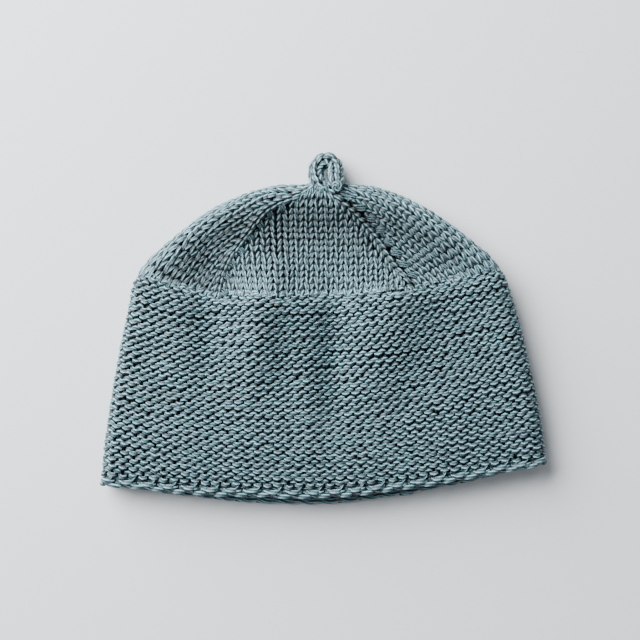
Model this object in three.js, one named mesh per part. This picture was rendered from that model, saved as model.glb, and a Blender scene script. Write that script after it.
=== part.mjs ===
// A knitted baby beanie lying flat on its back layer: a purl-faced body band, a crown of four wedges, a
// chained brim edge and a small knitted cord loop at the apex.
// Millimetres. +X runs across the hat, +Y from the brim to the crown, +Z up from the surface it lies on.
import * as THREE from 'three';

// ---------------------------------------------------------------- driving dimensions
const WALL = 3.4; // thickness of the knitted fabric
const GAP = 0.3; // left between two pieces that meet
const COLUMNS_PER_WEDGE = 22; // columns of stitches in a quarter of the hat, one column of facets each
const WEDGES = 4;
const EDGE_HEIGHT = 3.7; // height of the chain along the brim
const EDGE_BULGE = 0.4; // how far the chain stands proud of the body
const EDGE_SCALLOP = 0.45; // depth of the scallops under the chain, one to every two stitches
const LIP_HEIGHT = 0.9; // how far the body's top edge stands proud, and how far the crown starts below it
const RIB_HEIGHT = 0.8; // height of the two ribs that frame the front wedge
const RIB_WIDTH = 2.2;
const GATHER_FLUTES = 12; // small pleats where the crown is drawn together
const GATHER_DEPTH = 0.35;
const APEX = { x: -1.3, y: 61.3, z: 8.2, radius: 3.4 }; // the drawn-up ring at the top of the crown
const GATHER_START = 1.78; // level at which the crown starts to close on that ring
const INNER_TOP = 1.85; // level at which the inside of the crown ends
const PUFF = 1.3; // how much the front layer swells between its side folds
const PUFF_REACH = 45;
const CORD_RADIUS = 3.7; // the knitted cord of the top loop
const COTTON = { color: 0x61757b, roughness: 0.95, metalness: 0 };

// Courses of the middle surface, from the brim's lower edge (level 0) over the welt between body and crown
// (level 1) to the apex (level 2), seen from above.
//   leftX, leftY, rightX, rightY: where the course turns over the side folds
//   sag: how far its middle hangs towards the brim, below the line between those two points
//   leftPower, rightPower: how flat the hanging stretch is on either side of the middle
//   roll: radius of the side folds
//   leftRib, rightRib: where the front wedge ends on it, from -1 at the left fold to 1 at the right fold
const COURSES = [
  { level: -0.10, leftX: -97.4, leftY: -75.4, rightX: 98.0, rightY: -65.8,
    sag: 15.1, leftPower: 1.7, rightPower: 1.7, roll: 4.9, leftRib: -0.565, rightRib: 0.516 },
  { level: 0.00, leftX: -96.4, leftY: -66.3, rightX: 96.9, rightY: -57.5,
    sag: 14.9, leftPower: 1.7, rightPower: 1.7, roll: 4.9, leftRib: -0.565, rightRib: 0.516 },
  { level: 0.25, leftX: -93.6, leftY: -43.5, rightX: 93.8, rightY: -36.9,
    sag: 14.3, leftPower: 2.1, rightPower: 1.8, roll: 5.5, leftRib: -0.565, rightRib: 0.516 },
  { level: 0.50, leftX: -89.9, leftY: -20.8, rightX: 89.4, rightY: -15.9,
    sag: 13.4, leftPower: 2.6, rightPower: 1.8, roll: 5.8, leftRib: -0.565, rightRib: 0.516 },
  { level: 0.75, leftX: -85.5, leftY: 1.7, rightX: 84.0, rightY: 5.2,
    sag: 12.2, leftPower: 3.2, rightPower: 1.8, roll: 6.0, leftRib: -0.565, rightRib: 0.516 },
  { level: 1.00, leftX: -79.5, leftY: 24.0, rightX: 76.4, rightY: 25.7,
    sag: 11.0, leftPower: 4.0, rightPower: 1.9, roll: 6.0, leftRib: -0.565, rightRib: 0.516 },
  { level: 1.25, leftX: -63.7, leftY: 39.7, rightX: 60.2, rightY: 40.8,
    sag: 12.3, leftPower: 5.0, rightPower: 4.0, roll: 5.9, leftRib: -0.64, rightRib: 0.55 },
  { level: 1.50, leftX: -45.2, leftY: 52.7, rightX: 41.7, rightY: 53.1,
    sag: 12.2, leftPower: 6.0, rightPower: 4.0, roll: 5.6, leftRib: -0.71, rightRib: 0.54 },
  { level: 1.75, leftX: -24.0, leftY: 60.0, rightX: 21.0, rightY: 60.6,
    sag: 8.2, leftPower: 8.0, rightPower: 5.0, roll: 5.1, leftRib: -0.86, rightRib: 0.58 },
  { level: 2.00, leftX: -3.9, leftY: 61.2, rightX: 1.3, rightY: 61.2,
    sag: 0.4, leftPower: 2.0, rightPower: 2.0, roll: 4.4, leftRib: -0.6, rightRib: 0.6 },
];
const BACK_SAG = 1.2; // the back layer's brim shows this much below the front layer's
const BACK_RIB = 0.54; // where the back wedge ends, as a share of the way from the middle to a fold

// Soft ridges (height above 0) and troughs (below 0) in the front layer, seen from above.
//   x, y: middle; halfWidth, halfLength: reach across and along; lean: degrees to the left of +Y
const SOFT_FOLDS = [
  { x: -37, y: 2, halfWidth: 9, halfLength: 30, lean: -3, height: 1.7 },
  { x: -25, y: -17, halfWidth: 7, halfLength: 24, lean: 0, height: -1.7 },
  { x: -11, y: -25, halfWidth: 7, halfLength: 18, lean: 0, height: 1.5 },
  { x: 1, y: -12, halfWidth: 7, halfLength: 26, lean: 0, height: -2.4 },
  { x: 20, y: -8, halfWidth: 10, halfLength: 26, lean: 3, height: 1.6 },
  { x: -51, y: -25, halfWidth: 7, halfLength: 15, lean: 0, height: -0.9 },
  { x: -24, y: 46, halfWidth: 14, halfLength: 10, lean: 40, height: -1.6 },
  { x: -56, y: 36, halfWidth: 12, halfLength: 7, lean: 45, height: -1.3 },
  { x: 12, y: 34, halfWidth: 14, halfLength: 12, lean: 0, height: -0.9 },
];

// The top loop's centre line: up out of the apex, round, and back down to a free end on the crown's edge.
const LOOP_PATH = [
  { x: -1.5, y: 64.1, z: 8.2 },
  { x: -1.9, y: 66.4, z: 8.1 },
  { x: -2.7, y: 70.8, z: 6.6 },
  { x: 1.3, y: 74.2, z: 6.2 },
  { x: 5.0, y: 72.2, z: 7.2 },
  { x: 5.9, y: 69.0, z: 9.6 },
  { x: 5.6, y: 65.0, z: 13.0 },
];
const LOOP_STEPS = 22;
const LOOP_SIDES = 12;
const LOOP_CAP = 0.13; // share of the loop's length taken by its rounded end

// Levels of the rows of facets.
const EDGE_LEVEL = EDGE_HEIGHT / 90.7; // 90.7 mm from the brim's edge to the welt at the front
const BODY_ROWS = 12;
const CROWN_LEVELS = [1, 1.04, 1.12, 1.22, 1.33, 1.44, 1.55, 1.66, 1.76, INNER_TOP, 1.92, 1.97];
const NORMAL_STEP = 0.004; // step in level from which a normal is taken
const SAMPLES = 60; // points along a quarter of a course before it is divided evenly

// ---------------------------------------------------------------- small helpers
const smoothstep = (low, high, v) => THREE.MathUtils.smoothstep(v, low, high);

// A table row interpolated smoothly at a level.
function courseAt(level) {
  const last = COURSES.length - 2;
  let i = COURSES.findIndex((row) => row.level > level) - 1;
  if (i < 0) {
    i = level < COURSES[0].level ? 0 : last;
  }
  const [a, b] = [COURSES[i], COURSES[i + 1]];
  const before = COURSES[Math.max(i - 1, 0)];
  const after = COURSES[Math.min(i + 2, last + 1)];
  const span = b.level - a.level;
  const t = (level - a.level) / span;
  const course = {};
  for (const key of Object.keys(a)) {
    const startSlope = (b[key] - before[key]) / (b.level - before.level);
    const endSlope = (after[key] - a[key]) / (after.level - a.level);
    course[key] = a[key] * (2 * t ** 3 - 3 * t ** 2 + 1) + b[key] * (3 * t ** 2 - 2 * t ** 3)
      + span * (startSlope * (t ** 3 - 2 * t ** 2 + t) + endSlope * (t ** 3 - t ** 2));
  }
  return course;
}

// The hat's outline as seen from above: the left fold from the brim to the apex, then the right fold.
function foldLines() {
  const levels = Array.from({ length: 106 }, (_, i) => -0.1 + i * 0.02);
  const courses = levels.map(courseAt);
  return [
    courses.map((c) => new THREE.Vector2(c.leftX, c.leftY)),
    courses.map((c) => new THREE.Vector2(c.rightX, c.rightY)),
  ];
}
const FOLD_LINES = foldLines();

// Distance from a point to the nearest side fold, seen from above.
function foldDistance(x, y) {
  const p = new THREE.Vector2(x, y);
  let nearest = Infinity;
  for (const line of FOLD_LINES) {
    for (let i = 1; i < line.length; i += 1) {
      const along = line[i].clone().sub(line[i - 1]);
      const from = p.clone().sub(line[i - 1]);
      const t = THREE.MathUtils.clamp(from.dot(along) / along.lengthSq(), 0, 1);
      nearest = Math.min(nearest, from.sub(along.multiplyScalar(t)).length());
    }
  }
  return nearest;
}

// Height that the soft ridges and troughs add to the front layer.
function softFolds(x, y) {
  let height = 0;
  for (const fold of SOFT_FOLDS) {
    const lean = THREE.MathUtils.degToRad(fold.lean);
    const [dx, dy] = [x - fold.x, y - fold.y];
    const across = (dx * Math.cos(lean) + dy * Math.sin(lean)) / fold.halfWidth;
    const along = (dy * Math.cos(lean) - dx * Math.sin(lean)) / fold.halfLength;
    height += fold.height * Math.exp(-(across ** 2) - along ** 2);
  }
  return height;
}

// ---------------------------------------------------------------- the hat's middle surface
// A point of the course at w, from -1 at the left fold to 1 at the right fold, on the front or back layer.
function layerPoint(course, w, front) {
  const x = THREE.MathUtils.lerp(course.leftX, course.rightX, (w + 1) / 2);
  const chord = THREE.MathUtils.lerp(course.leftY, course.rightY, (w + 1) / 2);
  const power = w < 0 ? course.leftPower : course.rightPower;
  const sag = front ? course.sag : course.sag + BACK_SAG * (1 - smoothstep(0, 1, course.level));
  const y = chord - sag * (1 - Math.abs(w) ** power);
  const distance = foldDistance(x, y);
  const inward = Math.max(course.roll - distance, 0);
  const rise = Math.sqrt(course.roll ** 2 - inward ** 2);
  const middle = WALL / 2 + course.roll;
  if (!front) {
    return new THREE.Vector3(x, y, middle - rise);
  }
  const puff = PUFF * smoothstep(course.roll, PUFF_REACH, distance) * smoothstep(-0.1, 0.3, course.level);
  const folds = softFolds(x, y) * smoothstep(2, 12, distance);
  return new THREE.Vector3(x, y, middle + rise + puff + folds);
}

// Points that divide a chain of points into equal lengths.
function evenly(points, count) {
  const reach = [0];
  for (let i = 1; i < points.length; i += 1) {
    reach.push(reach[i - 1] + points[i].distanceTo(points[i - 1]));
  }
  const even = [];
  let i = 1;
  for (let k = 0; k < count; k += 1) {
    const want = (reach[reach.length - 1] * k) / count;
    while (reach[i] < want) {
      i += 1;
    }
    const t = (want - reach[i - 1]) / (reach[i] - reach[i - 1]);
    even.push(points[i - 1].clone().lerp(points[i], t));
  }
  return even;
}

// The closed course at a level, the same number of points in each wedge: front, right, back and left.
function coursePoints(level, perWedge) {
  const course = courseAt(level);
  const ease = (from, to, i) => from + (to - from) * Math.sin((i / SAMPLES) * (Math.PI / 2));
  const steps = Array.from({ length: SAMPLES + 1 }, (_, i) => i);
  const straight = (from, to, front) => steps.map(
    (i) => layerPoint(course, THREE.MathUtils.lerp(from, to, i / SAMPLES), front));
  const overFold = (from, side, to, startFront) => [
    ...steps.map((i) => layerPoint(course, ease(from, side, i), startFront)),
    ...steps.slice(1).map((i) => layerPoint(course, ease(to, side, SAMPLES - i), !startFront)),
  ];
  const wedges = [
    straight(course.leftRib, course.rightRib, true),
    overFold(course.rightRib, 1, BACK_RIB, true),
    straight(BACK_RIB, -BACK_RIB, false),
    overFold(-BACK_RIB, -1, course.leftRib, false),
  ];
  const points = wedges.flatMap((wedge) => evenly(wedge, perWedge));
  const closing = smoothstep(GATHER_START, 2, level);
  return points.map((point, i) => {
    const turn = (2 * Math.PI * (i / points.length - 0.5 / WEDGES));
    const ring = new THREE.Vector3(
      APEX.x + APEX.radius * Math.sin(turn), APEX.y, APEX.z + APEX.radius * Math.cos(turn));
    return point.lerp(ring, closing);
  });
}

// Height of the lip, the ribs and the gathers at one point of a course, on the layer that faces up.
function reliefAt(level, point, leftRib, rightRib, column, columns) {
  const lip = level <= 1
    ? LIP_HEIGHT * Math.exp(-(((1 - level) / 0.06) ** 2))
    : -LIP_HEIGHT * Math.exp(-(((level - 1) / 0.12) ** 2));
  const nearest = Math.min(point.distanceTo(leftRib), point.distanceTo(rightRib));
  const onCrown = smoothstep(1, 1.06, level) * (1 - smoothstep(1.8, 1.95, level));
  const rib = RIB_HEIGHT * onCrown * Math.exp(-((nearest / RIB_WIDTH) ** 2));
  const flutes = GATHER_DEPTH * smoothstep(GATHER_START, 1.95, level)
    * Math.cos((2 * Math.PI * GATHER_FLUTES * column) / columns);
  return lip + rib + flutes;
}

// The middle surface along one course: points, outward normals and the direction towards the apex.
// onCrown says on which side of the welt a course at level 1 lies.
function fabricRow(level, onCrown = level > 1) {
  const fine = 4;
  const perWedge = COLUMNS_PER_WEDGE * fine;
  const here = coursePoints(level, perWedge);
  const below = coursePoints(level - NORMAL_STEP, perWedge);
  const above = coursePoints(level + NORMAL_STEP, perWedge);
  const count = here.length;
  const row = [];
  for (let column = 0; column < COLUMNS_PER_WEDGE * WEDGES; column += 1) {
    const i = column * fine;
    const upward = above[i].clone().sub(below[i]).normalize();
    const along = here[(i + 1) % count].clone().sub(here[(i - 1 + count) % count]).normalize();
    const normal = along.clone().cross(upward).normalize();
    const lift = smoothstep(-0.1, 0.7, normal.z);
    const seamLevel = onCrown ? Math.max(level, 1 + 1e-9) : level;
    const relief = lift * reliefAt(seamLevel, here[i], here[0], here[perWedge], i, count);
    row.push({
      point: here[i].clone().addScaledVector(normal, relief),
      normal,
      upward,
      lift,
    });
  }
  return row;
}

// The same row moved along the fabric, towards the apex if distance is above 0.
function shifted(row, distance) {
  return row.map((spot) => ({ ...spot, point: spot.point.clone().addScaledVector(spot.upward, distance) }));
}

// Points of a row pushed out along its normals.
function offset(row, distance) {
  return row.map((spot) => spot.point.clone().addScaledVector(spot.normal, distance));
}

// ---------------------------------------------------------------- meshes
// Collects rings of points and the triangles between them. A ring runs left to right on the front layer.
class Rings {
  constructor() {
    this.positions = [];
    this.triangles = [];
  }

  add(points) {
    const first = this.positions.length;
    this.positions.push(...points);
    return { first, count: points.length };
  }

  // Joins a ring to the next, whose points lie towards the apex of a face that looks outwards. Rims that
  // face each other use opposite diagonals, so that their facets lie parallel.
  join(low, high, otherDiagonal = false) {
    for (let i = 0; i < low.count; i += 1) {
      const next = (i + 1) % low.count;
      const [a, b, c, d] = [low.first + i, low.first + next, high.first + next, high.first + i];
      this.triangles.push(...(otherDiagonal ? [[a, b, d], [b, c, d]] : [[a, b, c], [a, c, d]]));
    }
  }

  // Closes a ring with a fan of triangles round one point.
  fan(ring, tip, flipped) {
    const middle = this.positions.push(tip) - 1;
    for (let i = 0; i < ring.count; i += 1) {
      const next = (i + 1) % ring.count;
      const [a, b] = flipped ? [next, i] : [i, next];
      this.triangles.push([ring.first + a, ring.first + b, middle]);
    }
  }

  geometry() {
    const shape = new THREE.BufferGeometry();
    const values = this.positions.flatMap((p) => [p.x, p.y, p.z]);
    shape.setAttribute('position', new THREE.Float32BufferAttribute(values, 3));
    shape.setIndex(this.triangles.flat());
    shape.computeVertexNormals();
    return shape;
  }
}

function namedMesh(name, geometry, lightness = 1) {
  const material = new THREE.MeshStandardMaterial(COTTON);
  material.color.multiplyScalar(lightness);
  const mesh = new THREE.Mesh(geometry, material);
  mesh.name = name;
  return mesh;
}

// The body: an open band with a wall of even thickness.
function body() {
  const levels = Array.from(
    { length: BODY_ROWS + 1 }, (_, i) => THREE.MathUtils.lerp(EDGE_LEVEL, 1, i / BODY_ROWS));
  const rows = levels.map((level) => fabricRow(level, false));
  rows[0] = shifted(rows[0], GAP / 2);
  rows[BODY_ROWS] = shifted(rows[BODY_ROWS], -GAP / 2);
  const rings = new Rings();
  const outer = rows.map((row) => rings.add(offset(row, WALL / 2)));
  const inner = rows.map((row) => rings.add(offset(row, -WALL / 2)));
  for (let i = 0; i < BODY_ROWS; i += 1) {
    rings.join(outer[i], outer[i + 1]);
    rings.join(inner[i + 1], inner[i]);
  }
  rings.join(inner[0], outer[0], true);
  rings.join(outer[BODY_ROWS], inner[BODY_ROWS]);
  return rings.geometry();
}

// The crown: a dome drawn together at the apex, open towards the body.
function crown() {
  const rows = CROWN_LEVELS.map((level) => fabricRow(level, true));
  rows[0] = shifted(rows[0], GAP / 2);
  const innerRows = rows.filter((_, i) => CROWN_LEVELS[i] <= INNER_TOP);
  const rings = new Rings();
  const outer = rows.map((row) => rings.add(offset(row, WALL / 2)));
  const inner = innerRows.map((row) => rings.add(offset(row, -WALL / 2)));
  for (let i = 1; i < outer.length; i += 1) {
    rings.join(outer[i - 1], outer[i]);
  }
  for (let i = 1; i < inner.length; i += 1) {
    rings.join(inner[i], inner[i - 1]);
  }
  rings.join(inner[0], outer[0], true);
  rings.fan(outer[outer.length - 1], new THREE.Vector3(APEX.x, APEX.y + WALL / 2, APEX.z), false);
  const top = offset(innerRows[innerRows.length - 1], -WALL / 2);
  const middle = top.reduce((sum, p) => sum.add(p), new THREE.Vector3()).divideScalar(top.length);
  rings.fan(inner[inner.length - 1], middle, true);
  return rings.geometry();
}

// The chain along the brim: a rounded ring under the body's lower edge, with a scallop to every two stitches.
function brimEdge() {
  const row = shifted(fabricRow(EDGE_LEVEL, false), -GAP / 2);
  const spots = row.flatMap((spot, i) => {
    const next = row[(i + 1) % row.length];
    const between = {
      point: spot.point.clone().lerp(next.point, 0.5),
      normal: spot.normal.clone().lerp(next.normal, 0.5).normalize(),
      upward: spot.upward.clone().lerp(next.upward, 0.5).normalize(),
      lift: (spot.lift + next.lift) / 2,
    };
    return [spot, between];
  });
  const height = EDGE_HEIGHT - GAP / 2;
  // Columns of the section: how far down it lies, how far out, and its share of the bulge and scallop.
  const section = [
    { down: 0, out: 0.5, bulge: 0, scallop: 0 },
    { down: 0, out: -0.5, bulge: 0, scallop: 0 },
    { down: 0.55, out: -0.5, bulge: 0, scallop: 0 },
    { down: 1, out: -0.28, bulge: 0, scallop: 1 },
    { down: 1, out: 0.28, bulge: 0.5, scallop: 1 },
    { down: 0.5, out: 0.5, bulge: 1, scallop: 0 },
  ];
  const rings = new Rings();
  const loops = section.map((corner) => rings.add(spots.map((spot, i) => {
    const scallop = EDGE_SCALLOP * corner.scallop * (i % 4 === 0 ? 0 : 1 - Math.abs((i % 4) - 2) * 0.4);
    const out = WALL * corner.out + EDGE_BULGE * corner.bulge * spot.lift;
    return spot.point.clone()
      .addScaledVector(spot.upward, -(height - EDGE_SCALLOP) * corner.down - scallop)
      .addScaledVector(spot.normal, out);
  })));
  loops.forEach((loop, i) => rings.join(loop, loops[(i + 1) % loops.length]));
  return rings.geometry();
}

// The top loop: a round cord along a smooth path, cut square where it leaves the apex, rounded at its free end.
function topLoop() {
  const curve = new THREE.CatmullRomCurve3(LOOP_PATH.map((p) => new THREE.Vector3(p.x, p.y, p.z)));
  const frames = curve.computeFrenetFrames(LOOP_STEPS, false);
  const rings = new Rings();
  const loops = [];
  for (let step = 0; step < LOOP_STEPS; step += 1) {
    const t = step / LOOP_STEPS;
    const intoCap = Math.max(t - (1 - LOOP_CAP), 0) / LOOP_CAP;
    const radius = CORD_RADIUS * Math.sqrt(1 - intoCap ** 2);
    const centre = curve.getPointAt(t);
    loops.push(rings.add(Array.from({ length: LOOP_SIDES }, (_, side) => {
      const turn = (2 * Math.PI * side) / LOOP_SIDES;
      return centre.clone()
        .addScaledVector(frames.normals[step], radius * Math.cos(turn))
        .addScaledVector(frames.binormals[step], radius * Math.sin(turn));
    })));
  }
  for (let i = 1; i < loops.length; i += 1) {
    rings.join(loops[i - 1], loops[i]);
  }
  rings.fan(loops[0], curve.getPointAt(0), true);
  rings.fan(loops[loops.length - 1], curve.getPointAt(1), false);
  return rings.geometry();
}

const group = new THREE.Group();
group.name = 'beanie';
group.add(namedMesh('brim_edge', brimEdge(), 0.9));
group.add(namedMesh('body', body()));
group.add(namedMesh('crown', crown(), 1.1));
group.add(namedMesh('top_loop', topLoop(), 0.95));

export default group;
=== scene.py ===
"""A knitted baby beanie that lies flat on its back layer, in spun cotton yarn.

Every stitch is a length of yarn laid on the middle surface of the fabric. Shapes are worked out in
millimetres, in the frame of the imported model, and turned to metres when their meshes are made.
"""
import logging
import math
from dataclasses import dataclass, replace
from enum import Enum
from typing import Callable, NamedTuple

import bpy
import numpy as np
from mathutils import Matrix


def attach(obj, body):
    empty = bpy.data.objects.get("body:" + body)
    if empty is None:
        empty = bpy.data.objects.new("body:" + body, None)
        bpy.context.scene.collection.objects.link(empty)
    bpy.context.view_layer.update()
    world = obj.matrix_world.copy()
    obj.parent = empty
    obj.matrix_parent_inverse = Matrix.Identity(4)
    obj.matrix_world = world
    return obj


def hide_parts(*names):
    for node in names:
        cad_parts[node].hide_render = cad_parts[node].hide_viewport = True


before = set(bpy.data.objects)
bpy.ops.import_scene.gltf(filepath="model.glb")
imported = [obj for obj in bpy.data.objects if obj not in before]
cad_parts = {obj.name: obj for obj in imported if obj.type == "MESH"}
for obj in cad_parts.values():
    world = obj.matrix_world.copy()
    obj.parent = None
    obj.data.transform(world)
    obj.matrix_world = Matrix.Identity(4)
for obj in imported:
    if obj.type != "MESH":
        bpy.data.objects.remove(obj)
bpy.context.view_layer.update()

MM = 0.001
BAND_HEIGHT = 90.7  # of the body from level 0 to the welt, mm
GRID_STEP = 0.25  # between the rows and the columns of a crown patch's table, in stitches
LOG = logging.getLogger("beanie")


# ------------------------------------------------------------------ the fabric's middle surface
class Course(NamedTuple):
    """One course of the fabric, from the brim (level 0) over the welt (1) to the apex (2), from above."""

    level: float
    left_x: float  # where the course turns over the side folds
    left_y: float
    right_x: float
    right_y: float
    sag: float  # how far its middle hangs towards the brim
    left_power: float  # how flat the hanging stretch is on either side
    right_power: float
    roll: float  # radius of the side folds
    left_rib: float  # where the front wedge ends, from -1 at the left fold to 1 at the right
    right_rib: float


COURSES = (
    Course(-0.10, -97.7, -75.4, 98.3, -65.8, 15.1, 1.7, 1.7, 4.9, -0.565, 0.516),
    Course(0.00, -96.7, -66.3, 97.2, -57.5, 14.9, 1.7, 1.7, 4.9, -0.565, 0.516),
    Course(0.25, -93.9, -43.5, 94.1, -36.9, 14.3, 2.1, 1.8, 5.5, -0.565, 0.516),
    Course(0.50, -90.2, -20.8, 89.7, -15.9, 13.4, 2.6, 1.8, 5.8, -0.565, 0.516),
    Course(0.75, -85.8, 1.7, 84.3, 5.2, 12.2, 3.2, 1.8, 6.0, -0.565, 0.516),
    Course(1.00, -79.7, 24.0, 76.6, 25.7, 11.0, 4.0, 1.9, 6.0, -0.565, 0.516),
    Course(1.25, -63.9, 39.7, 60.4, 40.8, 12.3, 5.0, 4.0, 5.9, -0.64, 0.53),
    Course(1.50, -45.4, 52.9, 41.9, 53.3, 12.2, 6.0, 4.0, 5.6, -0.71, 0.565),
    Course(1.75, -24.2, 60.9, 21.2, 61.3, 8.4, 8.0, 5.0, 5.1, -0.84, 0.62),
    Course(2.00, -3.9, 62.2, 1.3, 62.2, 0.4, 2.0, 2.0, 4.4, -0.6, 0.6),
)


class SoftFold(NamedTuple):
    """A soft ridge (height above 0) or trough (below 0) in the front layer, from above."""

    x: float
    y: float
    half_width: float
    half_length: float
    lean: float  # degrees to the left of +Y
    height: float


SOFT_FOLDS = (
    SoftFold(-27, 3, 10, 27, -7, 6.2),
    SoftFold(-13, -2, 9, 25, -4, 1.6),
    SoftFold(-6, -24, 7, 22, 0, 1.5),
    SoftFold(5, -8, 7, 27, 0, -3.3),
    SoftFold(29.5, 2, 14, 27, -20, 4.7),
    SoftFold(-20, 22, 6, 7, 0, 1.6),
    SoftFold(-50, 2, 7, 26, 0, -2.2),
    SoftFold(-65, 0, 8, 28, 0, 1.1),
    SoftFold(-56, 36, 12, 7, 45, -1.0),
)


class Layer(Enum):
    """The two layers of the hat as it lies."""

    FRONT = 1
    BACK = -1


class Side(Enum):
    """The two side folds of the hat."""

    LEFT = -1
    RIGHT = 1


def smoothstep(low: float, high: float, value: np.ndarray) -> np.ndarray:
    """Smooth rise from 0 at low to 1 at high."""
    share = np.clip((np.asarray(value, float) - low) / (high - low), 0, 1)
    return share * share * (3 - 2 * share)


def bell(distance: np.ndarray, width: float) -> np.ndarray:
    """1 where the distance is 0, and close to 0 at twice the width."""
    return np.exp(-((distance / width) ** 2))


def unit(vectors: np.ndarray) -> np.ndarray:
    """The vectors with length 1."""
    length = np.linalg.norm(vectors, axis=-1, keepdims=True)
    return vectors / np.maximum(length, 1e-12)


def arc_length(points: np.ndarray) -> np.ndarray:
    """Distance along a chain of points, 0 at the first."""
    steps = np.linalg.norm(np.diff(points, axis=0), axis=1)
    return np.concatenate([[0.0], np.cumsum(steps)])


def along_line(line: np.ndarray, reach: np.ndarray, distance: np.ndarray) -> np.ndarray:
    """Points of a line.

    Args:
        line: The line's points, or other vectors that go with them.
        reach: The distance along the line of each of them.
        distance: Where the wanted points lie, held inside the line.

    Returns:
        A vector for each distance.
    """
    return np.stack([np.interp(distance, reach, column) for column in line.T], axis=1)


def bilinear(table: np.ndarray, row: np.ndarray, column: np.ndarray) -> np.ndarray:
    """A table's values between its rows and columns.

    Args:
        table: Numbers or vectors at whole rows and columns.
        row: Row numbers inside the table.
        column: Column numbers inside the table.

    Returns:
        A number or vector for each place.
    """
    i = np.minimum(row.astype(int), table.shape[0] - 2)
    j = np.minimum(column.astype(int), table.shape[1] - 2)
    u, v = row - i, column - j
    if table.ndim == 3:
        u, v = u[:, None], v[:, None]
    low = table[i, j] * (1 - v) + table[i, j + 1] * v
    high = table[i + 1, j] * (1 - v) + table[i + 1, j + 1] * v
    return low * (1 - u) + high * u


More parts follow.
